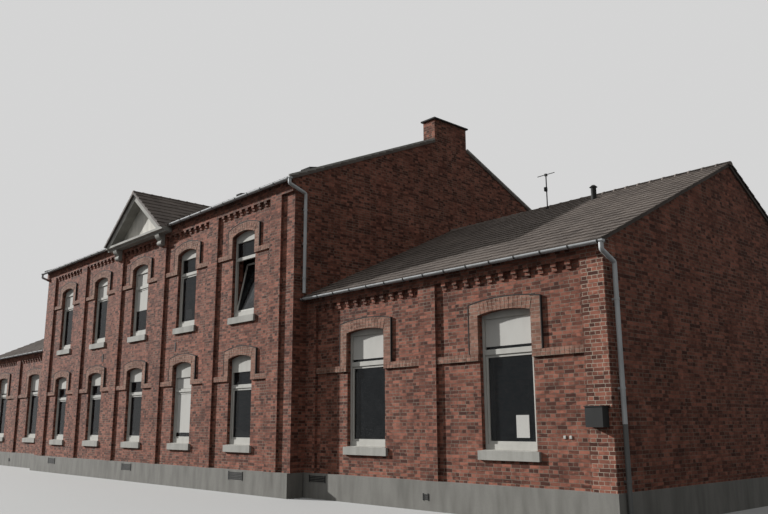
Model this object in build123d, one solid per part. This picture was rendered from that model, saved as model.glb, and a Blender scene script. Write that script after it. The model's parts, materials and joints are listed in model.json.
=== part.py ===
from build123d import *
import math
import os

# Village school building: a two-storey block of five bays under a small pediment,
# between two single-storey classroom wings of two bays each.
# Millimetres. X runs along the street front, Y into the building and Z up.
# Every piece is built with Y = 0 in the plane of the block's pilaster faces, and
# main() then moves the whole building so that the origin is under its middle.

# Shared masonry sizes
WALL = 350.0  # one and a half bricks, behind the recessed panels
RELIEF = 75.0  # how far a pilaster stands out of its panels
HOOD_RELIEF = 45.0  # how far a window hood stands out of its panel
PLINTH_TOP = 600.0
PLINTH_PROUD = 40.0  # how far the plinth stands out of the pilasters
COURSE = 72.0  # one brick and its joint
JOINT = 0.5  # clearance where a piece is fitted into an opening

# Block plan and heights
BAY = 3254.0
BAYS = 5
PILASTER = 526.0
END_STRIP = 517.0  # recessed strip between the last pilaster and the corner
BLOCK_RIDGE_Y = 6220.0
BLOCK_ROOF_RISE = 2750.0  # from the roof's front edge to the ridge
BLOCK_FRIEZE = 310.0  # from the corbels' top to the roof's edge

# Wing plan and heights
WING_SETBACK = 520.0
WING_FIRST_PILASTER = 400.0
WING_PANEL = 3690.0
WING_MIDDLE_PILASTER = 514.0
WING_CORNER_PILASTER = 502.0
WING_RIDGE_Y = 6200.0
WING_REAR = 11300.0  # the rear pilaster faces
WING_ROOF_RISE = 2740.0
WING_FRIEZE = 205.0

# Roofs
EAVES_OUT = 130.0  # the roof's front edge from the pilaster face
ROOF_DROP = 70.0  # thickness of the covering, measured upright
TILE_COURSE = 320.0  # length of a tile that shows, down the slope
TILE_STEP = 22.0  # how far a tile's nose stands over the course below
BLOCK_VERGE = 30.0
WING_VERGE = 40.0
RIDGE_TILE_R = 110.0
RIDGE_TILE_THICK = 18.0

# Gutters and downpipes
GUTTER_R = 50.0
GUTTER_THICK = 4.0
GUTTER_DROP = 30.0  # from the roof's edge down to the gutter's rim
GUTTER_PAST = 10.0  # how far the gutter runs past its outlet
PIPE_R = 45.0
PIPE_THICK = 4.0
PIPE_STAND_OFF = 50.0  # from the wall to the near side of a downpipe
NECK_LEAD = 125.0  # straight down from the outlet before the neck turns to the wall
NECK_DROP = 180.0
CLIP_TALL = 40.0
CLIP_THICK = 8.0

# Corbel tables
CORBEL = 120.0  # one header wide
CORBEL_GAP = 206.0
CORBEL_STEPS = 2
CORBEL_STEP_TALL = 2 * COURSE
BLOCK_CORBEL_CLEAR = 143.0  # from a hood's crown up to the corbels
WING_CORBEL_CLEAR = 250.0
HOOD_CROWN = 1.2  # the hood's arch rises this much more than the opening's

# Windows
REVEAL = 95.0  # from the panel face to the frame
FRAME_DEPTH = 70.0
FRAME_FACE = 60.0  # the fixed frame's own face width
SASH_FACE = 55.0
SASH_DEPTH = 45.0
GLASS_THICK = 6.0
STRING_TALL = 2 * COURSE
SILL_TALL = 200.0
SILL_EAR = 110.0
SILL_PROUD = 60.0  # past the pilaster face
SILL_FALL = 30.0  # how much the sill's top slopes outwards
BLOCK_OPENING = 1160.0
WING_OPENING = 1340.0

# One row of windows: sill top, springing and rise of the arch, width of the hood and length of its
# legs below the springing, the rail under the casement's pane, and below the springing the head of
# the casement and the foot and head of the light over the transom
GROUND_ROW = dict(sill=1250.0, spring=3565.0, rise=90.0, hood=220.0, leg=610.0,
                  rail=185.0, casement_down=805.0, light_down=(705.0, 365.0))
UPPER_ROW = dict(sill=4755.0, spring=7075.0, rise=120.0, hood=220.0, leg=615.0,
                 rail=185.0, casement_down=695.0, light_down=(605.0, 165.0))
WING_ROW = dict(sill=1270.0, spring=3938.0, rise=70.0, hood=235.0, leg=923.0,
                rail=160.0, casement_down=803.0, light_down=(698.0, 68.0))
AJAR = 12.0  # degrees that the open leaf is tilted into the room

# Floors
FLOOR_THICK = 200.0
UPPER_FLOOR_Z = 4300.0

# Pediment over the middle bay
PEDIMENT_HALF = 2190.0
PEDIMENT_RISE = 1640.0
PEDIMENT_BELOW = 80.0  # its base under the roof's edge
PEDIMENT_OUT = 340.0  # the cornice from the pilaster face
PEDIMENT_VERGE = 80.0
PEDIMENT_SIDE = 250.0  # from its end to the gutter
CORNICE_TALL = 150.0
RAKE_TALL = 190.0
PEDIMENT_ROOF = 70.0
TYMPANUM_THICK = 200.0
BRACKET_WIDE = 280.0
BRACKET_TALL = 380.0
BRACKET_OUT = 240.0
BRACKET_FOOT = 70.0  # how far the bracket's foot stands out

# Chimneys on the gables
CHIMNEY_WIDE = 500.0
CHIMNEY_LONG = 1490.0
CHIMNEY_RISE = 400.0  # over the ridge
CHIMNEY_CAP = 45.0
CHIMNEY_CAP_OUT = 60.0
CHIMNEY_BED = 640.0  # how deep the stack is built into the gable, below the roof beside it

# Rear entrance
DOOR_WIDE = 1500.0
DOOR_HEAD = 2700.0
DOOR_THICK = 50.0
DOOR_TRANSOM = 100.0
DOOR_PANELS = ((0.07, 0.36), (0.42, 0.93))  # feet and heads of the sunk panels, in parts of the leaf
STEP_TALL = 150.0
STEP_DEEP = 300.0
STEPS = 3

# Small fittings
METER_WIDE = 350.0
METER_TALL = 350.0
METER_DEEP = 200.0
METER_X = 17460.0
METER_FOOT = 1700.0
VENT_X = 14455.0
VENT_DOWN = 600.0  # from the ridge down the plan to the pipe
VENT_TALL = 400.0  # over the roof
VENT_R = 70.0
AERIAL_X = 12780.0
AERIAL_DOWN = 300.0
AERIAL_TALL = 1030.0
AERIAL_R = 16.0

# Values that follow
PANEL = BAY - PILASTER
BLOCK_HALF = BAY * BAYS / 2 + PILASTER / 2 + END_STRIP
BLOCK_DEPTH = 2 * BLOCK_RIDGE_Y
WING_END = (BLOCK_HALF + WING_FIRST_PILASTER + 2 * WING_PANEL
            + WING_MIDDLE_PILASTER + WING_CORNER_PILASTER)
CORBEL_TALL = CORBEL_STEPS * CORBEL_STEP_TALL
BLOCK_CORBEL_TOP = (UPPER_ROW["spring"] + UPPER_ROW["hood"] + HOOD_CROWN * UPPER_ROW["rise"]
                    + BLOCK_CORBEL_CLEAR + CORBEL_TALL)
WING_CORBEL_TOP = (WING_ROW["spring"] + WING_ROW["hood"] + HOOD_CROWN * WING_ROW["rise"]
                   + WING_CORBEL_CLEAR + CORBEL_TALL)
BLOCK_EAVES_Z = BLOCK_CORBEL_TOP + BLOCK_FRIEZE  # top of the roof at its front edge
WING_EAVES_Z = WING_CORBEL_TOP + WING_FRIEZE
BLOCK_RIDGE_Z = BLOCK_EAVES_Z + BLOCK_ROOF_RISE
WING_RIDGE_Z = WING_EAVES_Z + WING_ROOF_RISE
BLOCK_SLOPE = math.atan2(BLOCK_ROOF_RISE, BLOCK_RIDGE_Y + EAVES_OUT)
WING_SLOPE = math.atan2(WING_ROOF_RISE, WING_RIDGE_Y - WING_SETBACK + EAVES_OUT)
WING_BACK_SLOPE = math.atan2(WING_ROOF_RISE, WING_REAR + EAVES_OUT - WING_RIDGE_Y)
PEDIMENT_BASE = BLOCK_EAVES_Z - PEDIMENT_BELOW
PEDIMENT_TOP = PEDIMENT_BASE + PEDIMENT_RISE
CHIMNEY_TOP = BLOCK_RIDGE_Z + CHIMNEY_RISE
CHIMNEY_FOOT = BLOCK_RIDGE_Z - CHIMNEY_LONG / 2 * math.tan(BLOCK_SLOPE) - ROOF_DROP - CHIMNEY_BED
PANEL_MIDDLES = [(i - (BAYS - 1) / 2) * BAY for i in range(BAYS)]
WING_PANEL_LEFTS = [BLOCK_HALF + WING_FIRST_PILASTER,
                    BLOCK_HALF + WING_FIRST_PILASTER + WING_PANEL + WING_MIDDLE_PILASTER]
WING_MIDDLES = [left + WING_PANEL / 2 for left in WING_PANEL_LEFTS]
STEPS_OUT = PLINTH_PROUD + STEPS * STEP_DEEP
MIDDLE_Y = (BLOCK_DEPTH + STEPS_OUT - PEDIMENT_OUT - PEDIMENT_VERGE) / 2


def block(x0, x1, y0, y1, z0, z1):
    """A plain block between two corners."""
    return Pos((x0 + x1) / 2, (y0 + y1) / 2, (z0 + z1) / 2) * Box(abs(x1 - x0), abs(y1 - y0), abs(z1 - z0))


def along_x(points, x0, x1):
    """A solid whose section in Y and Z runs along X."""
    face = make_face(Polyline(*[(x0, y, z) for y, z in points], close=True))
    return extrude(face, x1 - x0, dir=(1, 0, 0))


def along_y(points, y0, y1):
    """A solid whose section in X and Z runs along Y."""
    face = make_face(Polyline(*[(x, y0, z) for x, z in points], close=True))
    return extrude(face, y1 - y0, dir=(0, 1, 0))


def mirrored(shape):
    """The same piece on the other side of the building's middle."""
    return mirror(shape, about=Plane.YZ)


def both_sides(shape):
    """A piece and its mirror image, as two solids of one node."""
    return joined([shape, mirrored(shape)])


def joined(shapes):
    """Separate solids of one node."""
    return Compound(children=[s for shape in shapes for s in shape.solids()])


def arched(middle, wide, foot, spring, rise, y0, y1):
    """A solid with an upright outline under a segmental arch."""
    left, right = middle - wide / 2, middle + wide / 2
    outline = Polyline((left, y0, spring), (left, y0, foot), (right, y0, foot), (right, y0, spring))
    arch = ThreePointArc((right, y0, spring), (middle, y0, spring + rise), (left, y0, spring))
    return extrude(make_face(outline + arch), y1 - y0, dir=(0, 1, 0))


class Front:
    """One side of a block or wing under its eaves: its pilaster plane, its way out and its roof."""

    def __init__(self, face_y, outward, eaves_z, slope):
        self.face_y = face_y
        self.outward = outward
        self.eaves_z = eaves_z
        self.slope = slope

    def depth(self, behind):
        """The Y of a plane that lies this far behind the pilaster faces."""
        return self.face_y - self.outward * behind

    def between(self, near, far):
        """Two depths behind the pilaster faces, in rising Y."""
        return sorted((self.depth(near), self.depth(far)))

    def roof_top(self, behind):
        """Height of the roof's upper plane over a depth behind the pilaster faces."""
        return self.eaves_z + (behind + EAVES_OUT) * math.tan(self.slope)

    def underside(self, behind):
        """Height of the roof's lower face over a depth behind the pilaster faces."""
        return self.roof_top(behind) - ROOF_DROP


BLOCK_FRONT = Front(0.0, -1, BLOCK_EAVES_Z, BLOCK_SLOPE)
BLOCK_REAR = Front(BLOCK_DEPTH, 1, BLOCK_EAVES_Z, BLOCK_SLOPE)
WING_FRONT = Front(WING_SETBACK, -1, WING_EAVES_Z, WING_SLOPE)
WING_BACK = Front(WING_REAR, 1, WING_EAVES_Z, WING_BACK_SLOPE)


# Walls
def long_wall(front, x0, x1, pilasters):
    """A wall under the eaves with its pilasters; its top follows the roof."""
    def section(near, far):
        return [(front.depth(near), PLINTH_TOP), (front.depth(far), PLINTH_TOP),
                (front.depth(far), front.underside(far)), (front.depth(near), front.underside(near))]

    wall = along_x(section(RELIEF, RELIEF + WALL), x0, x1)
    for left, wide in pilasters:
        wall += along_x(section(0, RELIEF), left, left + wide)
    return wall


def gable_wall(x_inner, x_outer, front, rear, top_points):
    """A wall under a gable, between the long walls, with its top points from rear to front."""
    y0, y1 = front.depth(RELIEF + WALL), rear.depth(RELIEF + WALL)
    return along_x([(y0, PLINTH_TOP), (y1, PLINTH_TOP), (y1, rear.underside(RELIEF + WALL)), *top_points,
                    (y0, front.underside(RELIEF + WALL))], x_inner, x_outer)


def block_gable():
    """The block's gable wall, with the seat that its chimney stands on."""
    front_y, rear_y = BLOCK_RIDGE_Y - CHIMNEY_LONG / 2, BLOCK_RIDGE_Y + CHIMNEY_LONG / 2
    side_z = BLOCK_FRONT.underside(front_y)
    top = [(rear_y, side_z), (rear_y, CHIMNEY_FOOT), (front_y, CHIMNEY_FOOT), (front_y, side_z)]
    return gable_wall(BLOCK_HALF - WALL, BLOCK_HALF, BLOCK_FRONT, BLOCK_REAR, top)


def opening(front, middle, wide, row):
    """What a window takes out of its wall, with the bed of its sill."""
    near, far = front.between(-COURSE, RELIEF + WALL + COURSE)
    hole = arched(middle, wide, row["sill"], row["spring"], row["rise"], near, far)
    bed_near, bed_far = front.between(-SILL_PROUD, RELIEF + REVEAL + FRAME_DEPTH)
    half = wide / 2 + SILL_EAR
    return hole + block(middle - half, middle + half, bed_near, bed_far, row["sill"] - SILL_TALL, row["sill"])


def block_walls():
    """The long walls with their openings, and the gable walls between them."""
    lefts = [middle - PANEL / 2 - PILASTER for middle in PANEL_MIDDLES] + [PANEL_MIDDLES[-1] + PANEL / 2]
    pilasters = [(left, PILASTER) for left in lefts]
    front = long_wall(BLOCK_FRONT, -BLOCK_HALF, BLOCK_HALF, pilasters)
    rear = long_wall(BLOCK_REAR, -BLOCK_HALF, BLOCK_HALF, pilasters)
    for middle in PANEL_MIDDLES:
        front -= opening(BLOCK_FRONT, middle, BLOCK_OPENING, GROUND_ROW)
        front -= opening(BLOCK_FRONT, middle, BLOCK_OPENING, UPPER_ROW)
        rear -= opening(BLOCK_REAR, middle, BLOCK_OPENING, UPPER_ROW)
        if middle:
            rear -= opening(BLOCK_REAR, middle, BLOCK_OPENING, GROUND_ROW)
    near, far = BLOCK_REAR.between(-COURSE, RELIEF + WALL + COURSE)
    rear -= arched(0, DOOR_WIDE, PLINTH_TOP, GROUND_ROW["spring"], GROUND_ROW["rise"], near, far)
    return dict(block_front_wall=front, block_rear_wall=rear, block_gable_walls=both_sides(block_gable()))


def wing_walls():
    """Front, rear and gable walls of both wings."""
    pilasters = [(BLOCK_HALF, WING_FIRST_PILASTER),
                 (WING_PANEL_LEFTS[0] + WING_PANEL, WING_MIDDLE_PILASTER),
                 (WING_END - WING_CORNER_PILASTER, WING_CORNER_PILASTER)]
    walls = {}
    for name, front in (("wing_front_walls", WING_FRONT), ("wing_rear_walls", WING_BACK)):
        wall = long_wall(front, BLOCK_HALF, WING_END, pilasters)
        for middle in WING_MIDDLES:
            wall -= opening(front, middle, WING_OPENING, WING_ROW)
        walls[name] = both_sides(wall)
    peak = (WING_RIDGE_Y, WING_FRONT.underside(WING_RIDGE_Y - WING_SETBACK))
    gable = gable_wall(WING_END - WALL, WING_END, WING_FRONT, WING_BACK, [peak])
    walls["wing_gable_walls"] = both_sides(gable)
    return walls


# Plinth, floors and steps
def plinth():
    """The stone base under every wall, in lengths that butt at the corners."""
    pieces = []
    for front in (BLOCK_FRONT, BLOCK_REAR):
        near, far = front.between(-PLINTH_PROUD, RELIEF + WALL)
        reach = BLOCK_HALF + PLINTH_PROUD
        pieces.append(block(-reach, reach, near, far, 0, PLINTH_TOP))
    for front in (WING_FRONT, WING_BACK):
        near, far = front.between(-PLINTH_PROUD, RELIEF + WALL)
        length = block(BLOCK_HALF + JOINT, WING_END + PLINTH_PROUD, near, far, 0, PLINTH_TOP)
        pieces += [length, mirrored(length)]
    side = block(BLOCK_HALF - WALL, BLOCK_HALF, BLOCK_FRONT.depth(RELIEF + WALL) + JOINT,
                 BLOCK_REAR.depth(RELIEF + WALL) - JOINT, 0, PLINTH_TOP)
    end = block(WING_END - WALL, WING_END + PLINTH_PROUD, WING_FRONT.depth(RELIEF + WALL) + JOINT,
                WING_BACK.depth(RELIEF + WALL) - JOINT, 0, PLINTH_TOP)
    return joined(pieces + [side, mirrored(side), end, mirrored(end)])


def floors():
    """The ground floors of block and wings, and the upper floor of the block."""
    inner = BLOCK_HALF - WALL
    y0, y1 = BLOCK_FRONT.depth(RELIEF + WALL), BLOCK_REAR.depth(RELIEF + WALL)
    middle = block(-inner, inner, y0, y1, PLINTH_TOP - FLOOR_THICK, PLINTH_TOP)
    wing = block(BLOCK_HALF, WING_END - WALL, WING_FRONT.depth(RELIEF + WALL), WING_BACK.depth(RELIEF + WALL),
                 PLINTH_TOP - FLOOR_THICK, PLINTH_TOP)
    upper = block(-inner, inner, y0, y1, UPPER_FLOOR_Z - FLOOR_THICK, UPPER_FLOOR_Z)
    return dict(ground_floors=joined([middle, wing, mirrored(wing)]), upper_floor=upper)


def rear_steps():
    """Solid steps up to the rear door."""
    y0 = BLOCK_DEPTH + PLINTH_PROUD
    points = [(y0, 0), (y0 + STEPS * STEP_DEEP, 0)]
    for i in range(STEPS):
        y = y0 + (STEPS - i) * STEP_DEEP
        points += [(y, (i + 1) * STEP_TALL), (y - STEP_DEEP, (i + 1) * STEP_TALL)]
    half = DOOR_WIDE / 2 + STEP_DEEP
    return along_x(points, -half, half)


# Window trim
def sill(front, middle, wide, row):
    """A stone sill with a sloping top and an ear at each end."""
    half = wide / 2 + SILL_EAR
    back = front.depth(RELIEF + REVEAL + FRAME_DEPTH)
    frame_face = front.depth(RELIEF + REVEAL)
    wall_face = front.depth(RELIEF)
    nose = front.depth(-SILL_PROUD)
    top, foot = row["sill"], row["sill"] - SILL_TALL
    stone = along_x([(back, foot), (nose, foot), (nose, top - SILL_FALL), (frame_face, top), (back, top)],
                    middle - half, middle + half)
    y0, y1 = sorted((wall_face, back))
    for side in (-1, 1):
        stone += block(middle + side * wide / 2, middle + side * half, y0, y1, top - SILL_FALL, top)
    return stone


def hood(front, middle, wide, row):
    """The raised brick band round an arch, with the string course that runs to the pilasters."""
    near, far = front.between(RELIEF - HOOD_RELIEF, RELIEF)
    foot, face = row["spring"] - row["leg"], row["hood"]
    panel = PANEL if front in (BLOCK_FRONT, BLOCK_REAR) else WING_PANEL
    band = arched(middle, wide + 2 * face, foot, row["spring"] + face, row["rise"] * HOOD_CROWN, near, far)
    string = block(middle - panel / 2, middle + panel / 2, near, far, foot, foot + STRING_TALL)
    hole = arched(middle, wide, foot - COURSE, row["spring"], row["rise"], near - COURSE, far + COURSE)
    return band + string - hole


def frieze(front, left, right, top):
    """The plain brickwork over the corbels, flush with the pilasters."""
    face, wall = front.depth(0), front.depth(RELIEF)
    return along_x([(face, top), (wall, top), (wall, front.underside(RELIEF)), (face, front.underside(0))],
                   left, right)


def corbel_table(front, left, right, top):
    """Brick corbels in two steps under a plain frieze, between two pilasters."""
    wide = right - left
    count = max(1, round((wide - CORBEL_GAP) / (CORBEL + CORBEL_GAP)))
    gap = (wide - count * CORBEL) / (count + 1)
    face, wall = front.depth(0), front.depth(RELIEF)
    foot = top - CORBEL_TALL
    table = frieze(front, left, right, top)
    points = [(wall, foot)]
    for k in range(CORBEL_STEPS):
        y = wall + (face - wall) * (k + 1) / CORBEL_STEPS
        points += [(y, foot + k * CORBEL_STEP_TALL), (y, foot + (k + 1) * CORBEL_STEP_TALL)]
    points.append((wall, top))
    for i in range(count):
        x = left + gap + i * (CORBEL + gap)
        table += along_x(points, x, x + CORBEL)
    return table


def casement(row):
    """Foot and head of the lower light's opening in the frame."""
    return row["sill"] + row["rail"] - SASH_FACE, row["spring"] - row["casement_down"]


def upper_light(row):
    """Foot and head of the light over the transom."""
    return [row["spring"] - down for down in row["light_down"]]


def window_frame(front, middle, wide, row):
    """The fixed timber frame with its transom and the board that fills the arch."""
    near, far = front.between(RELIEF + REVEAL, RELIEF + REVEAL + FRAME_DEPTH)
    clear = wide - 2 * JOINT
    frame = arched(middle, clear, row["sill"], row["spring"] - JOINT, row["rise"], near, far)
    half = clear / 2 - FRAME_FACE
    for foot, head in (casement(row), upper_light(row)):
        frame -= block(middle - half, middle + half, near - COURSE, far + COURSE, foot, head)
    return frame


def ajar(shape, front, middle, row):
    """Tilts the last upper leaf of the street front into the room about its bottom edge."""
    if front is not BLOCK_FRONT or row is not UPPER_ROW or middle != PANEL_MIDDLES[-1]:
        return shape
    hinge = (middle, front.depth(RELIEF + REVEAL + FRAME_DEPTH), casement(row)[0] + JOINT)
    return shape.rotate(Axis(hinge, (1, 0, 0)), -AJAR)


def window_sash(front, middle, wide, row):
    """The leaf in the lower light: a timber border round its pane."""
    near, far = front.between(RELIEF + REVEAL + FRAME_DEPTH - SASH_DEPTH, RELIEF + REVEAL + FRAME_DEPTH)
    half = wide / 2 - FRAME_FACE - 2 * JOINT
    foot, head = casement(row)[0] + JOINT, casement(row)[1] - JOINT
    leaf = block(middle - half, middle + half, near, far, foot, head)
    inner = half - SASH_FACE
    leaf -= block(middle - inner, middle + inner, near - COURSE, far + COURSE, foot + SASH_FACE, head - SASH_FACE)
    return ajar(leaf, front, middle, row)


def window_glass(front, middle, wide, row):
    """The panes of one window, each held by the wood round it."""
    pane = RELIEF + REVEAL + FRAME_DEPTH - SASH_DEPTH / 2
    near, far = front.between(pane - GLASS_THICK / 2, pane + GLASS_THICK / 2)
    inner = wide / 2 - FRAME_FACE - 2 * JOINT - SASH_FACE
    foot, head = casement(row)[0] + JOINT + SASH_FACE, casement(row)[1] - JOINT - SASH_FACE
    lower = ajar(block(middle - inner, middle + inner, near, far, foot, head), front, middle, row)
    half = wide / 2 - JOINT - FRAME_FACE
    return joined([lower, block(middle - half, middle + half, near, far, *upper_light(row))])


def block_places():
    """Each window of the block: its front, middle, width and row."""
    places = []
    for front in (BLOCK_FRONT, BLOCK_REAR):
        for middle in PANEL_MIDDLES:
            if front is BLOCK_FRONT or middle:
                places.append((front, middle, BLOCK_OPENING, GROUND_ROW))
            places.append((front, middle, BLOCK_OPENING, UPPER_ROW))
    return places


def wing_places():
    """Each window of both wings."""
    return [(front, side * middle, WING_OPENING, WING_ROW)
            for front in (WING_FRONT, WING_BACK) for side in (-1, 1) for middle in WING_MIDDLES]


def windows():
    """Hoods, sills, frames, leaves and panes of every window, with the hood over the rear door."""
    nodes = {}
    door = (BLOCK_REAR, 0, DOOR_WIDE, GROUND_ROW)
    for name, places in (("block", block_places()), ("wing", wing_places())):
        hoods = places + [door] if name == "block" else places
        nodes[name + "_window_hoods"] = joined([hood(*place) for place in hoods])
        nodes[name + "_window_sills"] = joined([sill(*place) for place in places])
        nodes[name + "_window_frames"] = joined([window_frame(*place) for place in places])
        nodes[name + "_window_sashes"] = joined([window_sash(*place) for place in places])
        nodes[name + "_window_glass"] = joined([window_glass(*place) for place in places])
    return nodes


def corbel_tables():
    """The corbel tables under all the eaves."""
    block_tables = [corbel_table(front, middle - PANEL / 2, middle + PANEL / 2, BLOCK_CORBEL_TOP)
                    for front in (BLOCK_FRONT, BLOCK_REAR) for middle in PANEL_MIDDLES]
    strip = BLOCK_HALF - END_STRIP
    for front in (BLOCK_FRONT, BLOCK_REAR):
        end = frieze(front, strip, BLOCK_HALF, BLOCK_CORBEL_TOP)
        block_tables += [end, mirrored(end)]
    wing_tables = []
    for front in (WING_FRONT, WING_BACK):
        for left in WING_PANEL_LEFTS:
            table = corbel_table(front, left, left + WING_PANEL, WING_CORBEL_TOP)
            wing_tables += [table, mirrored(table)]
    return dict(block_corbel_tables=joined(block_tables), wing_corbel_tables=joined(wing_tables))


# Rear entrance
def rear_door():
    """The frame with its fanlight, the two leaves and the fanlight's pane."""
    near, far = BLOCK_REAR.between(RELIEF + REVEAL, RELIEF + REVEAL + FRAME_DEPTH)
    clear = DOOR_WIDE - 2 * JOINT
    spring, rise = GROUND_ROW["spring"], GROUND_ROW["rise"]
    frame = arched(0, clear, PLINTH_TOP, spring - JOINT, rise, near, far)
    half = clear / 2 - FRAME_FACE
    frame -= block(-half, half, near - COURSE, far + COURSE, PLINTH_TOP - COURSE, DOOR_HEAD)
    foot = DOOR_HEAD + DOOR_TRANSOM
    frame -= arched(0, 2 * half, foot, spring - FRAME_FACE, rise, near - COURSE, far + COURSE)
    leaf_y = BLOCK_REAR.between(RELIEF + REVEAL + 10, RELIEF + REVEAL + 10 + DOOR_THICK)
    leaf = block(JOINT, half - JOINT, *leaf_y, PLINTH_TOP, DOOR_HEAD - JOINT)
    tall = DOOR_HEAD - PLINTH_TOP
    for low, high in DOOR_PANELS:
        leaf -= block(0.2 * half, 0.8 * half, leaf_y[1] - 12, leaf_y[1] + COURSE,
                      PLINTH_TOP + low * tall, PLINTH_TOP + high * tall)
    pane_y = BLOCK_REAR.between(RELIEF + REVEAL + 30, RELIEF + REVEAL + 30 + GLASS_THICK)
    pane = arched(0, 2 * half, foot, spring - FRAME_FACE, rise, *pane_y)
    return dict(rear_door_frame=frame, rear_door_leaves=both_sides(leaf), rear_door_fanlight=pane)


# Roofs
def chimney_space(out=0.0):
    """The room that the chimney takes in the wall and the roof, out past the gable's face if asked."""
    return block(BLOCK_HALF - CHIMNEY_WIDE, BLOCK_HALF + out, BLOCK_RIDGE_Y - CHIMNEY_LONG / 2,
                 BLOCK_RIDGE_Y + CHIMNEY_LONG / 2, CHIMNEY_FOOT, CHIMNEY_TOP)


def chimneys():
    """The stacks and their thin caps."""
    out = CHIMNEY_CAP_OUT
    half_long = CHIMNEY_LONG / 2 + out
    cap = block(BLOCK_HALF - CHIMNEY_WIDE - out, BLOCK_HALF + out, BLOCK_RIDGE_Y - half_long,
                BLOCK_RIDGE_Y + half_long, CHIMNEY_TOP, CHIMNEY_TOP + CHIMNEY_CAP)
    return dict(chimney_stacks=both_sides(chimney_space()), chimney_caps=both_sides(cap))


def roof_slope(front, x0, x1, ridge_y):
    """One roof slope from its eaves to the ridge, with a step at the nose of every course of tiles."""
    edge = front.depth(-EAVES_OUT)
    run = abs(ridge_y - edge)
    courses = round(run / math.cos(front.slope) / TILE_COURSE)
    rise = TILE_STEP / math.cos(front.slope)
    points = []
    for k in range(courses):
        y = edge + (ridge_y - edge) * k / courses
        z = front.eaves_z + run * math.tan(front.slope) * k / courses
        points += [(y, z), (y, z + rise)] if k else [(y, z + rise)]
    ridge_z = front.eaves_z + run * math.tan(front.slope)
    points += [(ridge_y, ridge_z), (ridge_y, ridge_z - ROOF_DROP), (edge, front.eaves_z - ROOF_DROP)]
    return along_x(points, x0, x1)


def roofs():
    """All the slopes; the block's are open where the pediment and the chimneys stand."""
    reach = BLOCK_HALF + BLOCK_VERGE
    stack = chimney_space(2 * BLOCK_VERGE)
    notch = block(-PEDIMENT_HALF, PEDIMENT_HALF, -EAVES_OUT - COURSE, TYMPANUM_THICK, 0, BLOCK_RIDGE_Z)
    nodes = {}
    for name, front in (("block_front_roof", BLOCK_FRONT), ("block_rear_roof", BLOCK_REAR)):
        slab = roof_slope(front, -reach, reach, BLOCK_RIDGE_Y)
        nodes[name] = slab - stack - mirrored(stack)
    nodes["block_front_roof"] -= notch
    for name, front in (("wing_front_roofs", WING_FRONT), ("wing_rear_roofs", WING_BACK)):
        nodes[name] = both_sides(roof_slope(front, BLOCK_HALF, WING_END + WING_VERGE, WING_RIDGE_Y))
    return nodes


def ridge_tiles(x0, x1, front, rear, y, z):
    """Half-round ridge tiles bedded on both slopes, as one length."""
    outer, inner = RIDGE_TILE_R, RIDGE_TILE_R - RIDGE_TILE_THICK
    place = Pos((x0 + x1) / 2, y, z - outer / 2) * Rot(0, 90, 0)
    ring = place * Cylinder(outer, x1 - x0) - place * Cylinder(inner, x1 - x0)
    run = 2 * outer
    below = along_x([(y, z), (y + run, z - run * math.tan(rear.slope)), (y + run, z - 2 * run),
                     (y - run, z - 2 * run), (y - run, z - run * math.tan(front.slope))], x0 - run, x1 + run)
    return ring - below - roof_slope(front, x0, x1, y) - roof_slope(rear, x0, x1, y)


def ridges():
    """The ridge tiles of the block and of both wings."""
    reach = BLOCK_HALF - CHIMNEY_WIDE
    middle = ridge_tiles(-reach, reach, BLOCK_FRONT, BLOCK_REAR, BLOCK_RIDGE_Y, BLOCK_RIDGE_Z)
    wing = ridge_tiles(BLOCK_HALF, WING_END + WING_VERGE, WING_FRONT, WING_BACK, WING_RIDGE_Y, WING_RIDGE_Z)
    return joined([middle, wing, mirrored(wing)])


# Gutters and downpipes
def gutter(front, x0, x1):
    """A half-round gutter with a flat back on the roof's edge and a closed end at each side."""
    edge = front.depth(-EAVES_OUT)
    centre = front.depth(-EAVES_OUT - GUTTER_R)
    rim = front.eaves_z - GUTTER_DROP

    def half_round(radius, left, right):
        top = Line((left, centre - radius, rim), (left, centre + radius, rim))
        bowl = ThreePointArc((left, centre + radius, rim), (left, centre, rim - radius), (left, centre - radius, rim))
        return extrude(make_face(top + bowl), right - left, dir=(1, 0, 0))

    y0, y1 = sorted((edge, edge + front.outward * GUTTER_THICK))
    back = block(x0, x1, y0, y1, rim - GUTTER_R, rim)
    return half_round(GUTTER_R, x0, x1) + back - half_round(GUTTER_R - GUTTER_THICK, x0 + GUTTER_THICK,
                                                            x1 - GUTTER_THICK)


def gutters():
    """Gutters under every eaves, each run to past its downpipe."""
    past = PIPE_STAND_OFF + 2 * PIPE_R + GUTTER_PAST
    front_right = gutter(BLOCK_FRONT, PEDIMENT_HALF + PEDIMENT_SIDE, BLOCK_HALF + past)
    rear = gutter(BLOCK_REAR, -BLOCK_HALF - past, BLOCK_HALF + past)
    wing = [gutter(front, BLOCK_HALF, WING_END + max(past, WING_VERGE)) for front in (WING_FRONT, WING_BACK)]
    return dict(block_gutters=joined([front_right, mirrored(front_right), rear]),
                wing_gutters=joined([both_sides(run) for run in wing]))


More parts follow.
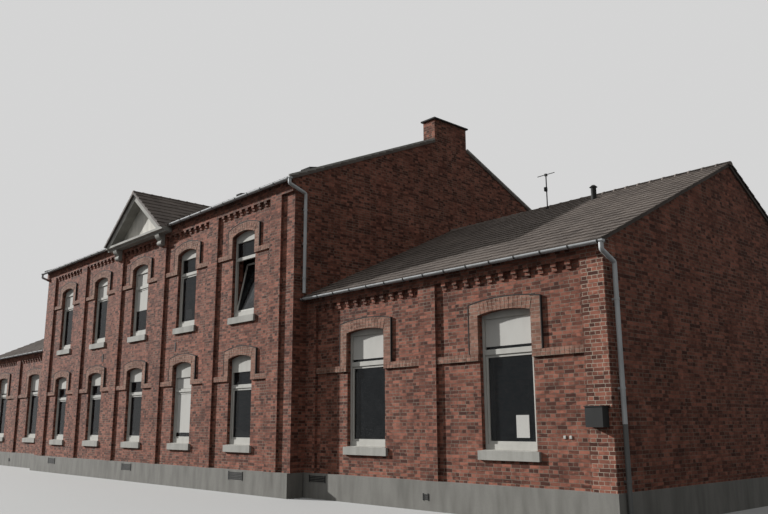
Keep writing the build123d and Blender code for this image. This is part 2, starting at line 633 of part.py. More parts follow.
def downpipe(front, wall_x, behind, foot):
    """A pipe on a gable wall with a swan neck up to the gutter's outlet, and its wall clips."""
    x = wall_x + PIPE_STAND_OFF + PIPE_R
    outlet = front.depth(-EAVES_OUT - GUTTER_R)
    y = front.depth(behind)
    top = front.eaves_z - GUTTER_DROP - GUTTER_R
    bend = 1.2 * PIPE_R
    points = [(x, outlet, top), (x, outlet, top - NECK_LEAD), (x, y, top - NECK_LEAD - NECK_DROP), (x, y, foot)]
    line = FilletPolyline(*points, radius=bend)
    start = Plane(origin=(x, outlet, top), z_dir=(0, 0, -1))
    pipe = sweep(start * (Circle(PIPE_R) - Circle(PIPE_R - PIPE_THICK)), path=line)
    run_top = top - 2.5 * NECK_DROP
    hollow = Pos(x, y, (run_top + foot) / 2) * Cylinder(PIPE_R - PIPE_THICK, run_top - foot)
    for i in range(3):
        z = foot + (run_top - foot) * (0.16 + 0.36 * i)
        ring = Pos(x, y, z) * Cylinder(PIPE_R + CLIP_THICK, CLIP_TALL)
        arm = block(wall_x, x, y - CLIP_THICK / 2, y + CLIP_THICK / 2, z - CLIP_TALL / 2, z + CLIP_TALL / 2)
        pipe += ring + arm - hollow
    return pipe


def downpipes():
    """A pipe at each end of the block and of each wing, at the front and the rear."""
    pipes = []
    for front in (BLOCK_FRONT, BLOCK_REAR):
        pipes.append(downpipe(front, BLOCK_HALF, 350.0, WING_EAVES_Z + 110.0))
    for front in (WING_FRONT, WING_BACK):
        pipes.append(downpipe(front, WING_END, 220.0, 90.0))
    return joined([both_sides(pipe) for pipe in pipes])


# Pediment
def pediment():
    """Cornice, raking cornices, tympanum, brackets and the small roof behind them."""
    base, half = PEDIMENT_BASE, PEDIMENT_HALF
    slope = math.atan2(PEDIMENT_TOP - base, half)
    roof_drop, rake_drop = PEDIMENT_ROOF / math.cos(slope), RAKE_TALL / math.cos(slope)
    under_roof = half - roof_drop / math.tan(slope)
    under_rake = under_roof - rake_drop / math.tan(slope)
    apex = PEDIMENT_TOP - roof_drop
    soffit = base - CORNICE_TALL
    step = CORNICE_TALL / 2
    profile = [(0, soffit), (-BRACKET_OUT, soffit), (-BRACKET_OUT, soffit + step / 2),
               (-PEDIMENT_OUT, soffit + step), (-PEDIMENT_OUT, base), (0, base)]
    cornice = along_x(profile, -half, half)
    rake = along_y([(0, apex), (under_roof, base), (under_rake, base), (0, apex - rake_drop)], -PEDIMENT_OUT, 0)
    rakes = rake + mirrored(rake)
    tympanum = along_y([(-under_roof, base), (under_roof, base), (0, apex)], 0, TYMPANUM_THICK)
    tympanum += block(-under_roof, under_roof, 0, TYMPANUM_THICK, soffit, base)
    wall_top = along_x([(0, 0), (TYMPANUM_THICK, 0), (TYMPANUM_THICK, BLOCK_FRONT.underside(TYMPANUM_THICK)),
                        (0, BLOCK_FRONT.underside(0))], -half, half)
    side = along_y([(0, PEDIMENT_TOP), (half, base), (under_roof, base), (0, apex)],
                   -PEDIMENT_OUT - PEDIMENT_VERGE, BLOCK_RIDGE_Y)
    below = along_x([(TYMPANUM_THICK, 0), (BLOCK_RIDGE_Y, 0), (BLOCK_RIDGE_Y, BLOCK_RIDGE_Z),
                     (TYMPANUM_THICK, BLOCK_FRONT.roof_top(TYMPANUM_THICK))], -half, half)
    over = side - below - wall_top - roof_slope(BLOCK_FRONT, -half, half, BLOCK_RIDGE_Y)
    return dict(pediment_cornice=cornice, pediment_raking_cornices=rakes, pediment_tympanum=tympanum - wall_top,
                pediment_roof=over + mirrored(over), pediment_brackets=both_sides(bracket()))


def bracket():
    """A console in two swellings on a pilaster's top, under the cornice."""
    top = PEDIMENT_BASE - CORNICE_TALL
    foot = top - BRACKET_TALL
    out, toe = -BRACKET_OUT, -BRACKET_FOOT
    lip, waist = top - BRACKET_TALL / 8, foot + BRACKET_TALL * 0.45
    square = Polyline((0, toe, foot), (0, 0, foot), (0, 0, top), (0, out, top), (0, out, lip))
    upper = ThreePointArc((0, out, lip), (0, out * 0.84, (lip + waist) / 2), (0, out * 0.4, waist))
    lower = ThreePointArc((0, out * 0.4, waist), (0, out * 0.62, (waist + foot) / 2), (0, toe, foot))
    face = make_face(square + upper + lower)
    middle = (PANEL + PILASTER) / 2
    return Pos(middle - BRACKET_WIDE / 2, 0, 0) * extrude(face, BRACKET_WIDE, dir=(1, 0, 0))


# Small fittings
def on_wing_roof(shape, x, y, reach):
    """Trims a fitting to the wing's front slope round a place on it."""
    behind = y - WING_SETBACK
    below = along_x([(y - reach, 0), (y + reach, 0), (y + reach, WING_FRONT.roof_top(behind + reach)),
                     (y - reach, WING_FRONT.roof_top(behind - reach))], x - reach, x + reach)
    return shape - below - roof_slope(WING_FRONT, x - reach, x + reach, WING_RIDGE_Y)


def upright(x, y, radius, z0, z1):
    """A round bar or pipe on end."""
    return Pos(x, y, (z0 + z1) / 2) * Cylinder(radius, z1 - z0)


def fittings():
    """The meter cabinet, the roof's vent pipe and the aerial."""
    face = WING_SETBACK
    cabinet = block(METER_X - METER_WIDE / 2, METER_X + METER_WIDE / 2, face - METER_DEEP, face,
                    METER_FOOT, METER_FOOT + METER_TALL)
    lid = block(METER_X - METER_WIDE / 2 - 15, METER_X + METER_WIDE / 2 + 15, face - METER_DEEP - 15, face,
                METER_FOOT + METER_TALL, METER_FOOT + METER_TALL + 15)
    y = WING_RIDGE_Y - VENT_DOWN
    foot = WING_FRONT.roof_top(y - WING_SETBACK)
    head = foot + VENT_TALL
    vent = on_wing_roof(upright(VENT_X, y, VENT_R, foot - VENT_R, head - VENT_R), VENT_X, y, 3 * VENT_R)
    vent += Pos(VENT_X, y, head - VENT_R * 0.6) * Cone(1.5 * VENT_R, 0.6 * VENT_R, 0.8 * VENT_R)
    y = WING_RIDGE_Y - AERIAL_DOWN
    foot = WING_FRONT.roof_top(y - WING_SETBACK)
    head = foot + AERIAL_TALL
    mast = upright(AERIAL_X, y, AERIAL_R, foot - AERIAL_R, head)
    mast += upright(AERIAL_X, y, 3 * AERIAL_R, foot - 3 * AERIAL_R, foot + 3 * AERIAL_R)
    mast = on_wing_roof(mast, AERIAL_X, y, 8 * AERIAL_R)
    box = foot + AERIAL_TALL * 0.5
    mast += block(AERIAL_X - 2 * AERIAL_R, AERIAL_X + 2 * AERIAL_R, y - 5 * AERIAL_R, y, box, box + 7 * AERIAL_R)
    mast += block(AERIAL_X - 18 * AERIAL_R, AERIAL_X + 18 * AERIAL_R, y - AERIAL_R / 2, y + AERIAL_R / 2,
                  head - 2 * AERIAL_R, head - AERIAL_R)
    mast += block(AERIAL_X - 2 * AERIAL_R, AERIAL_X + 2 * AERIAL_R, y - 2 * AERIAL_R, y + 2 * AERIAL_R,
                  head - 4 * AERIAL_R, head)
    return dict(meter_cabinet=cabinet + lid, roof_vent_pipe=vent, roof_aerial=mast)


def main():
    """Builds every node and writes one file for each."""
    nodes = {}
    nodes.update(block_walls())
    nodes.update(wing_walls())
    nodes["plinth"] = plinth()
    nodes.update(floors())
    nodes["rear_steps"] = rear_steps()
    nodes.update(windows())
    nodes.update(corbel_tables())
    nodes.update(rear_door())
    nodes.update(roofs())
    nodes["ridge_tiles"] = ridges()
    nodes.update(chimneys())
    nodes.update(gutters())
    nodes["downpipes"] = downpipes()
    nodes.update(pediment())
    nodes.update(fittings())
    os.makedirs("parts", exist_ok=True)
    for name, shape in nodes.items():
        export_step(Pos(0, -MIDDLE_Y, 0) * shape, f"parts/{name}.step")


main()
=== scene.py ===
"""Dresses a brick village school: two storeys under a pediment, between two classroom wings."""
from __future__ import annotations

import json
import logging
import math
from dataclasses import dataclass
from enum import Enum
from typing import Callable, Iterable, Sequence

import bmesh
import bpy
from mathutils import Matrix, Vector

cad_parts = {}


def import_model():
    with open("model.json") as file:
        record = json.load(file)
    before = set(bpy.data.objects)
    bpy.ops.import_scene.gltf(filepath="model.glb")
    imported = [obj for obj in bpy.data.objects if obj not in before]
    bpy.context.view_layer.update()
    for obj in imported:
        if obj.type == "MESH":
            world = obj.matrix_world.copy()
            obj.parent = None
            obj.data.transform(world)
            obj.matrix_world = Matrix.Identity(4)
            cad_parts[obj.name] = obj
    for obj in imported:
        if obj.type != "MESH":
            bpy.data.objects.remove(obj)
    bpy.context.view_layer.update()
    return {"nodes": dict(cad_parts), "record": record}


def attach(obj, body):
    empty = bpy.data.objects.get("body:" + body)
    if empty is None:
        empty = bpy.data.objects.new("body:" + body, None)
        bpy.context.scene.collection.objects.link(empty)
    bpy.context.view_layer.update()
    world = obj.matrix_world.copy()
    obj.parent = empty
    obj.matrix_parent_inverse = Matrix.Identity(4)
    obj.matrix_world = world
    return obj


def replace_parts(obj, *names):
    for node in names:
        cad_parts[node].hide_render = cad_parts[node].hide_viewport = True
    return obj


LOG = logging.getLogger("school")
Colour = tuple[float, float, float]
Point = tuple[float, float, float]
Span = tuple[float, float]
Copy = tuple[Point, Point, Point]  # place, turn as Euler angles, size along its own axes
Socket = bpy.types.NodeSocket
Material = bpy.types.Material

LEVEL = (0.0, 0.0, 0.0)
WHOLE = (1.0, 1.0, 1.0)


def linear(*screen: int) -> Colour:
    """Screen levels from 0 to 255 as the linear levels that a shader takes."""
    parts = (level / 255 for level in screen)
    return tuple(part / 12.92 if part <= 0.04045 else ((part + 0.055) / 1.055) ** 2.4 for part in parts)


def toned(colour: Colour, factor: float) -> Colour:
    """A colour made darker or lighter by a factor."""
    return tuple(min(1.0, factor * part) for part in colour)


def span(middle: float, half: float) -> Span:
    """The low and the high end of a stretch about its middle."""
    return middle - half, middle + half


class Side(Enum):
    """The two long sides: the sign of the way out along Y."""

    STREET = -1
    YARD = 1


# How far the building was moved back, so that its origin is under its middle
MIDDLE_Y = 6.48


@dataclass(frozen=True)
class Eaves:
    """One long side of the block or of the wings, in metres from the block's pilaster faces.

    Attributes:
        face: Y of the pilaster faces.
        side: Which way it looks.
        edge_z: Height of the roof's upper face at its front edge.
        ridge_y: Y of the ridge.
        ridge_z: Height of the ridge.
        out: How far the roof's front edge stands out of the pilaster faces.
    """

    face: float
    side: Side
    edge_z: float
    ridge_y: float
    ridge_z: float
    out: float = 0.13

    def at(self, behind: float) -> float:
        """The Y in the frame of a plane this far behind the pilaster faces."""
        return self.face - self.side.value * behind - MIDDLE_Y

    def between(self, first: float, second: float) -> Span:
        """The low and the high Y between two planes behind the pilaster faces."""
        return tuple(sorted((self.at(first), self.at(second))))

    @property
    def edge_y(self) -> float:
        """The Y in the frame of the roof's front edge."""
        return self.at(-self.out)

    @property
    def run(self) -> float:
        """Level distance from the roof's edge to the ridge."""
        return abs(self.ridge_y - MIDDLE_Y - self.edge_y)

    @property
    def angle(self) -> float:
        """The slope's angle in radians."""
        return math.atan2(self.ridge_z - self.edge_z, self.run)

    @property
    def length(self) -> float:
        """Length of the slope from its edge to the ridge."""
        return math.hypot(self.run, self.ridge_z - self.edge_z)

    def height(self, y: float) -> float:
        """Height of the roof's plane at a Y that counts from the block's pilaster faces."""
        return self.edge_z + abs(y - MIDDLE_Y - self.edge_y) * math.tan(self.angle)

    def on_slope(self, along: float, up: float, lift: float = 0.0) -> Point:
        """A point on the roof.

        Args:
            along: Its x.
            up: Its distance up the slope from the edge.
            lift: Its height over the roof's face.

        Returns:
            The point in the frame.
        """
        inward = -self.side.value
        y = self.edge_y + inward * (up * math.cos(self.angle) - lift * math.sin(self.angle))
        z = self.edge_z + up * math.sin(self.angle) + lift * math.cos(self.angle)
        return along, y, z


BLOCK_STREET = Eaves(0.0, Side.STREET, 8.18, 6.22, 10.93)
BLOCK_YARD = Eaves(12.44, Side.YARD, 8.18, 6.22, 10.93)
WING_STREET = Eaves(0.52, Side.STREET, 5.0, 6.2, 7.74)
WING_YARD = Eaves(11.3, Side.YARD, 5.0, 6.2, 7.74)


@dataclass(frozen=True)
class WindowRow:
    """One row of windows, in metres.

    Attributes:
        wide: Width of the opening.
        sill: Height of the sill's top.
        spring: Springing of the arch.
        rise: Rise of the arch.
        hood: Width of the brick band.
        leg: How far the band's legs run below the springing.
        light: Foot and head of the light over the transom.
        panel: Width of the recessed panel that a window is in.
        middles: X of each window's middle.
    """

    wide: float
    sill: float
    spring: float
    rise: float
    hood: float
    leg: float
    light: Span
    panel: float
    middles: tuple[float, ...]


@dataclass(frozen=True)
class Window:
    """One opening of the building.

    Attributes:
        row: The row that it belongs to.
        middle: X of its middle.
        eaves: The side that it is on.
    """

    row: WindowRow
    middle: float
    eaves: Eaves

    def beside(self, side: int, near: float, far: float) -> Span:
        """The low and the high X between two distances from the middle, to one side."""
        return tuple(sorted((self.middle + side * near, self.middle + side * far)))


BAYS = tuple(3.254 * step for step in (-2, -1, 0, 1, 2))
WING_BAYS = (-15.364, -11.16, 11.16, 15.364)
GROUND = WindowRow(1.16, 1.25, 3.565, 0.09, 0.22, 0.61, (2.86, 3.2), 2.728, BAYS)
UPPER = WindowRow(1.16, 4.755, 7.075, 0.12, 0.22, 0.615, (6.47, 6.91), 2.728, BAYS)
WING = WindowRow(1.34, 1.27, 3.938, 0.07, 0.235, 0.923, (3.24, 3.87), 3.69, WING_BAYS)
REAR_DOOR = Window(GROUND, BAYS[2], BLOCK_YARD)
ROWS = ((GROUND, BLOCK_STREET), (UPPER, BLOCK_STREET), (UPPER, BLOCK_YARD), (WING, WING_STREET),
        (WING, WING_YARD), (GROUND, BLOCK_YARD))
OPENINGS = tuple(Window(row, middle, eaves) for row, eaves in ROWS for middle in row.middles)
WINDOWS = tuple(opening for opening in OPENINGS if opening != REAR_DOOR)

PEDIMENT = (2.19, 8.1, 9.74, -0.42)  # half width, base, top and front Y of its roof

# Distances behind the pilaster faces: the recessed panels, the hoods, the frames and the glass
RELIEF = 0.075
HOOD_FACE = RELIEF - 0.045
FRAME_BACK = RELIEF + 0.095
FRAME_DEEP = 0.07
GLASS_BACK = FRAME_BACK + FRAME_DEEP - 0.0225


class Graph:
    """A small helper round a node tree."""

    def __init__(self, tree: bpy.types.NodeTree) -> None:
        """Starts with an empty tree."""
        self.tree = tree
        tree.nodes.clear()

    def node(self, kind: str, values: dict | None = None, **settings: object) -> bpy.types.Node:
        """Adds a node.

        Args:
            kind: The node's type name.
            values: What goes into its inputs, by their names or places.
            **settings: Attributes of the node.

        Returns:
            The new node.
        """
        made = self.tree.nodes.new(kind)
        for key, value in settings.items():
            setattr(made, key, value)
        for key, value in (values or {}).items():
            self.put(made.inputs[key], value)
        return made

    def put(self, socket: Socket, value: object) -> None:
        """Links a socket to another one, or sets a plain value on it.

        Args:
            socket: The input.
            value: A socket, a colour or a plain value.
        """
        if isinstance(value, Socket):
            self.tree.links.new(value, socket)
        elif isinstance(value, tuple) and len(value) == 3 and socket.type == "RGBA":
            socket.default_value = (*value, 1.0)
        else:
            socket.default_value = value

    def maths(self, operation: str, *values: object) -> Socket:
        """The result of an operation on some values."""
        return self.node("ShaderNodeMath", dict(enumerate(values)), operation=operation).outputs[0]


class Surface(Graph):
    """A material's node tree with a surface shader."""

    def __init__(self, name: str) -> None:
        """Makes a material with a name and a plain shader."""
        self.material = bpy.data.materials.new(name)
        self.material.use_nodes = True
        super().__init__(self.material.node_tree)
        self.shader = self.node("ShaderNodeBsdfPrincipled")
        self.node("ShaderNodeOutputMaterial", {0: self.shader.outputs[0]})

    def blend(self, factor: object, low: object, high: object) -> Socket:
        """A mix of two colours by a factor."""
        return self.node("ShaderNodeMix", {"Factor": factor, 6: low, 7: high}, data_type="RGBA").outputs[2]

    def pick(self, factor: object, low: object, high: object) -> Socket:
        """A mix of two plain values by a factor."""
        return self.node("ShaderNodeMix", {"Factor": factor, 2: low, 3: high}).outputs[0]

    def ramp(self, value: object, low: Span, high: Span) -> Socket:
        """A grey ramp.

        Args:
            value: What runs up the ramp.
            low: Place and level of its first stop.
            high: Place and level of its last stop.

        Returns:
            The level.
        """
        made = self.node("ShaderNodeValToRGB", {0: value})
        for element, (place, level) in zip(made.color_ramp.elements, (low, high)):
            element.position = place
            element.color = (level, level, level, 1)
        return made.outputs[0]

    def place(self) -> Socket:
        """The point on the piece, in metres."""
        return self.node("ShaderNodeTexCoord").outputs["Object"]

    def parts(self, vector: Socket) -> Sequence[Socket]:
        """The X, Y and Z of a vector."""
        return self.node("ShaderNodeSeparateXYZ", {0: vector}).outputs

    def noise(self, scale: float, detail: float = 3.0, stretch: Point = (1, 1, 1)) -> Socket:
        """Cloudy noise from 0 to 1: clouds in a metre, octaves, and the scale along each axis."""
        mapping = self.node("ShaderNodeMapping", {"Scale": stretch, "Vector": self.place()})
        values = {"Vector": mapping.outputs[0], "Scale": scale, "Detail": detail}
        return self.node("ShaderNodeTexNoise", values).outputs["Fac"]

    def wall_point(self) -> Socket:
        """The point on a wall as run along the wall, height and nought, whichever way it faces."""
        x, y, z = self.parts(self.place())
        facing = self.parts(self.node("ShaderNodeNewGeometry").outputs["Normal"])
        sideways = self.maths("GREATER_THAN", self.maths("ABSOLUTE", facing[0]), 0.5)
        level = self.maths("GREATER_THAN", self.maths("ABSOLUTE", facing[2]), 0.7)
        values = {0: self.pick(sideways, x, y), 1: self.pick(level, z, y)}
        return self.node("ShaderNodeCombineXYZ", values).outputs[0]

    def bump(self, height: object, distance: float, strength: float = 1.0) -> None:
        """Gives the surface relief from a height between 0 and 1, its full depth in metres."""
        values = {"Strength": strength, "Distance": distance, "Height": height}
        self.put(self.shader.inputs["Normal"], self.node("ShaderNodeBump", values).outputs[0])

    def finish(self, colour: object, roughness: float, metallic: float = 0.0,
               shine: float = 0.12) -> Material:
        """Sets the shader's main values.

        Args:
            colour: A colour, or the socket that gives it.
            roughness: How rough the surface is.
            metallic: 1 for bare metal.
            shine: How strongly it mirrors, 0.5 for fresh gloss.

        Returns:
            The material.
        """
        values = {"Base Color": colour, "Roughness": roughness, "Metallic": metallic,
                  "Specular IOR Level": shine}
        for key, value in values.items():
            self.put(self.shader.inputs[key], value)
        return self.material


@dataclass(frozen=True)
class Brickwork:
    """Brick laid in alternate rows of stretchers and headers.

    Attributes:
        name: The material's name.
        light: Colour of the lighter bricks.
        dark: Colour of the darker bricks.
        mortar: Colour of the joints.
        soot: How much dark weathering lies on it.
        course: Height of a brick and its joint.
        brick: Length of a brick and its joint.
        joint: Width of a joint's half.
        pointed: How far out along X the joints are newly pointed in a pale mortar.
    """

    name: str
    light: Colour
    dark: Colour
    mortar: Colour
    soot: float
    course: float = 0.072
    brick: float = 0.22
    joint: float = 0.0055
    pointed: float = 1000.0

    def joints(self, graph: Graph) -> Socket:
        """The joints' colour, pale where they are newly pointed."""
        along = graph.parts(graph.place())[0]
        there = graph.maths("GREATER_THAN", graph.maths("ABSOLUTE", along), self.pointed)
        patch = graph.ramp(graph.noise(3.0), (0.35, 0.55), (0.65, 1.0))
        dirt = graph.ramp(graph.noise(1.7, 4.0), (0.4, 0.0), (0.7, 0.75))
        old = graph.blend(dirt, self.mortar, self.dark)
        return graph.blend(graph.maths("MULTIPLY", there, patch), old, toned(self.mortar, 1.9))

    def material(self) -> Material:
        """Builds the finish."""
        graph = Surface(self.name)
        values = {"Vector": graph.wall_point(), "Color1": self.light, "Color2": self.dark,
                  "Mortar": self.joints(graph), "Scale": 1.0, "Mortar Size": self.joint,
                  "Mortar Smooth": 0.25, "Bias": 0.0, "Brick Width": self.brick, "Row Height": self.course}
        bricks = graph.node("ShaderNodeTexBrick", values, offset=0.25, offset_frequency=2, squash=0.5,
                            squash_frequency=2)
        burnt = graph.ramp(graph.noise(9.0, 2.0, (0.6, 0.6, 1.6)), (0.5, 0.0), (0.62, 0.35))
        body = graph.blend(burnt, bricks.outputs["Color"], toned(self.dark, 0.5))
        pale = graph.ramp(graph.noise(7.0, 2.0, (0.7, 0.7, 1.8)), (0.6, 0.0), (0.7, 0.25))
        body = graph.blend(pale, body, toned(self.light, 1.5))
        soot = graph.ramp(graph.noise(1.1, 4.0, (1.6, 1.6, 0.35)), (0.42, 0.0), (0.72, self.soot))
        colour = graph.blend(soot, body, toned(self.dark, 0.3))
        grain = graph.maths("MULTIPLY", graph.noise(60.0), 0.35)
        relief = graph.maths("ADD", graph.maths("SUBTRACT", 1.0, bricks.outputs["Fac"]), grain)
        graph.bump(relief, 0.008, 0.8)
        return graph.finish(colour, 0.9)


@dataclass(frozen=True)
class Masonry:
    """Stone, render or plaster with clouds, grain and stains.

    Attributes:
        name: The material's name.
        base: Its main colour.
        stain: Colour of the stains.
        amount: How dark the stains get, from 0 to 1.
        grain: Depth of the grain in metres.
        stretch: Scale of the clouds along each axis; stains that run down have a small last one.
    """

    name: str
    base: Colour
    stain: Colour
    amount: float = 0.5
    grain: float = 0.002
    stretch: Point = (2.2, 2.2, 0.5)

    def material(self) -> Material:
        """Builds the finish."""
        graph = Surface(self.name)
        clouds = graph.ramp(graph.noise(1.6, 5.0, self.stretch), (0.4, 0.0), (0.75, self.amount))
        fine = graph.ramp(graph.noise(28.0, 4.0), (0.35, 0.0), (0.8, 0.3))
        colour = graph.blend(fine, graph.blend(clouds, self.base, self.stain), toned(self.base, 0.7))
        graph.bump(graph.noise(90.0, 4.0), self.grain)
        return graph.finish(colour, 0.85)


@dataclass(frozen=True)
class Clay:
    """Dark clay roof tiles that differ a little from each other.

    Attributes:
        name: The material's name.
        base: Main colour.
        other: Colour of the paler tiles.
        cell: Size of the cells that share a tone, about a tile each.
    """

    name: str
    base: Colour
    other: Colour
    cell: Point = (0.235, 0.288, 10.0)

    def material(self) -> Material:
        """Builds the finish."""
        graph = Surface(self.name)
        snap = graph.node("ShaderNodeVectorMath", {0: graph.place(), 1: self.cell}, operation="SNAP")
        each = graph.node("ShaderNodeTexWhiteNoise", {"Vector": snap.outputs[0]}).outputs["Value"]
        patch = graph.ramp(graph.noise(0.9, 4.0), (0.35, 0.1), (0.75, 0.9))
        mix = graph.maths("MULTIPLY", graph.maths("ADD", each, patch), 0.5)
        moss = graph.ramp(graph.noise(2.3, 5.0, (1.4, 0.5, 0.5)), (0.6, 0.0), (0.8, 0.5))
        colour = graph.blend(moss, graph.blend(mix, self.base, self.other), toned(self.base, 0.45))
        graph.bump(graph.noise(70.0, 4.0), 0.0015)
        return graph.finish(colour, 0.8)


@dataclass(frozen=True)
class Paint:
    """Painted wood or metal, worn and a little dirty.

    Attributes:
        name: The material's name.
        base: The paint's colour.
        dirt: Colour of the dirt.
        rough: Roughness.
        amount: How much dirt shows.
        metallic: 1 for bare metal.
        shine: How strongly it mirrors, 0.5 for fresh gloss.
        foot: Height below which it is all dirt.
    """

    name: str
    base: Colour
    dirt: Colour
    rough: float = 0.45
    amount: float = 0.35
    metallic: float = 0.0
    shine: float = 0.5
    foot: float = 0.0

    def material(self) -> Material:
        """Builds the finish."""
        graph = Surface(self.name)
        clouds = graph.ramp(graph.noise(3.0, 5.0, (1.5, 1.5, 0.6)), (0.42, 0.0), (0.8, self.amount))
        grain = graph.ramp(graph.noise(45.0, 3.0, (3.0, 3.0, 0.4)), (0.4, 0.0), (0.9, 0.12))
        colour = graph.blend(grain, graph.blend(clouds, self.base, self.dirt), self.dirt)
        if self.foot:
            low = graph.maths("LESS_THAN", graph.parts(graph.place())[2], self.foot)
            colour = graph.blend(low, colour, self.dirt)
        graph.bump(graph.noise(30.0, 3.0, (3.0, 3.0, 0.4)), 0.0006, 0.6)
        return graph.finish(colour, self.rough, self.metallic, self.shine)


@dataclass(frozen=True)
class Pane:
    """Old window glass: dark inside, with a reflecting face.

    Attributes:
        name: The material's name.
        tint: Colour that the dark room gives it.
        cover: How much of what is behind it is hidden.
    """

    name: str
    tint: Colour
    cover: float

    def material(self) -> Material:
        """Builds the finish."""
        graph = Surface(self.name)
        graph.bump(graph.noise(2.5, 2.0), 0.006, 0.4)
        graph.shader.inputs["Alpha"].default_value = self.cover
        dust = graph.ramp(graph.noise(6.0, 4.0), (0.45, 0.0), (0.85, 0.25))
        dusty = tuple(part + 0.05 for part in self.tint)
        return graph.finish(graph.blend(dust, self.tint, dusty), 0.04, shine=0.25)


BRICKS = (linear(154, 99, 82), linear(72, 45, 38), linear(130, 121, 108), 0.25)

# The finish of each material slot of the record, and those of the nodes and pieces that have their own
LOOKS = {
    "brick": Brickwork("dark_red_brick", *BRICKS),
    "wing_front_walls": Brickwork("wing_front_brick", *BRICKS, pointed=17.24),
    "light_brick": Brickwork("light_hood_brick", linear(152, 113, 97), linear(108, 77, 65),
                             linear(148, 138, 124), 0.15),
    "stone": Masonry("pale_limestone", linear(160, 158, 151), linear(96, 94, 88), 0.45),
    "dark_stone": Masonry("dark_slate", linear(58, 56, 54), linear(34, 33, 32)),
    "plinth_render": Masonry("plinth_render", linear(127, 125, 119), linear(78, 76, 71), 0.6, 0.004),
    "plaster": Masonry("stained_plaster", linear(206, 202, 192), linear(96, 94, 88), 0.6),
    "blank_sheet": Masonry("blank_paper", linear(186, 184, 178), linear(150, 147, 140), 0.2, 0.0005,
                           (1, 1, 1)),
    "roof_tiles": Clay("dark_clay_tiles", linear(82, 75, 70), linear(114, 105, 98)),
    "white_paint": Paint("white_window_paint", linear(178, 176, 169), linear(132, 128, 118), 0.8, 0.3,
                         shine=0.12),
    "grey_metal": Paint("dark_grey_metal", linear(42, 42, 41), linear(30, 29, 28), 0.75, 0.5, shine=0.2),
    "door_paint": Paint("green_door_paint", linear(52, 70, 60), linear(30, 36, 32)),
    "zinc": Paint("weathered_zinc", linear(180, 182, 182), linear(112, 114, 114), 0.6, 0.4, 0.1, 0.3),
    "downpipes": Paint("zinc_pipe_iron_foot", linear(176, 178, 178), linear(92, 92, 90), 0.6, 0.4, 0.1,
                       0.3, 1.75),
    "floor_boards": Paint("floor_boards", linear(118, 94, 66), linear(64, 48, 34), 0.6, 0.6),
    "window_blinds": Paint("blind_cloth", linear(184, 182, 176), linear(150, 147, 140), 0.9, 0.25,
                           shine=0.1),
    "window_curtains": Paint("grey_curtain", linear(120, 118, 112), linear(84, 82, 78), 0.9, 0.3,
                             shine=0.1),
    "window_glass": Pane("old_window_glass", linear(22, 25, 27), 0.62),
}


def add_object(name: str, data: bpy.types.ID) -> bpy.types.Object:
    """Makes an object of a mesh, a lamp or a camera and puts it into the scene."""
    made = bpy.data.objects.new(name, data)
    bpy.context.scene.collection.objects.link(made)
    return made


class Finishes:
    """Every material of the building, made once, and what wears it."""

    def __init__(self) -> None:
        """Builds all the materials."""
        self.made = {key: look.material() for key, look in LOOKS.items()}

    def of(self, name: str, slot: str) -> Material:
        """The finish of a node or piece: its own, or else its slot's."""
        return self.made.get(name, self.made[slot])

    def piece(self, mesh: bpy.types.Mesh, slot: str, smooth: bool = False) -> bpy.types.Object:
        """Puts a finished mesh into the scene as a piece that rides on the building.

        Args:
            mesh: Its mesh, in place, with the piece's name.
            slot: The record's material slot that it belongs to.
            smooth: Whether its faces are shaded smooth.

        Returns:
            The new object.
        """
        piece = add_object(mesh.name, mesh)
        mesh.materials.clear()
        mesh.materials.append(self.of(mesh.name, slot))
        mesh.polygons.foreach_set("use_smooth", [smooth] * len(mesh.polygons))
        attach(piece, "root")
        LOG.info("%s: %d faces", piece.name, len(mesh.polygons))
        return piece


class Shaper:
    """Collects simple forms into one mesh."""

    STEPS = 8  # flats on a half circle

    def __init__(self) -> None:
        """Starts with nothing."""
        self.mesh = bmesh.new()

    def block(self, low: Point, high: Point, bevel: float = 0.0) -> None:
        """Adds a block.

        Args:
            low: Its lowest corner.
            high: Its highest corner.
            bevel: How far its edges are eased.
        """
        made = bmesh.ops.create_cube(self.mesh, size=1.0)["verts"]
        middle = [(a + b) / 2 for a, b in zip(low, high)]
        size = [abs(b - a) for a, b in zip(low, high)]
        placing = Matrix.Translation(middle) @ Matrix.Diagonal((*size, 1))
        bmesh.ops.transform(self.mesh, verts=made, matrix=placing)
        if bevel:
            edges = {edge for vert in made for edge in vert.link_edges}
            bmesh.ops.bevel(self.mesh, geom=list(edges), offset=bevel, segments=1, affect="EDGES")

    def hull(self, corners: Iterable[Point]) -> None:
        """Adds the smallest convex form round the given corners."""
        bmesh.ops.convex_hull(self.mesh, input=[self.mesh.verts.new(corner) for corner in corners])

    def half_ring(self, x: float, radius: float, start: float = 0.0) -> list[bmesh.types.BMVert]:
        """Adds the points of a half circle round the X axis, the first one at an angle in radians."""
        angles = [start + math.pi * step / self.STEPS for step in range(self.STEPS + 1)]
        return [self.mesh.verts.new((x, radius * math.cos(angle), radius * math.sin(angle)))
                for angle in angles]

    def join(self, first: list[bmesh.types.BMVert], second: list[bmesh.types.BMVert]) -> None:
        """Adds the faces between two half circles."""
        for k in range(self.STEPS):
            self.mesh.faces.new((first[k], first[k + 1], second[k + 1], second[k]))

    def done(self, name: str) -> bpy.types.Mesh:
        """Turns what was collected into a mesh."""
        made = bpy.data.meshes.new(name)
        bmesh.ops.recalc_face_normals(self.mesh, faces=self.mesh.faces)
        self.mesh.to_mesh(made)
        self.mesh.free()
        return made


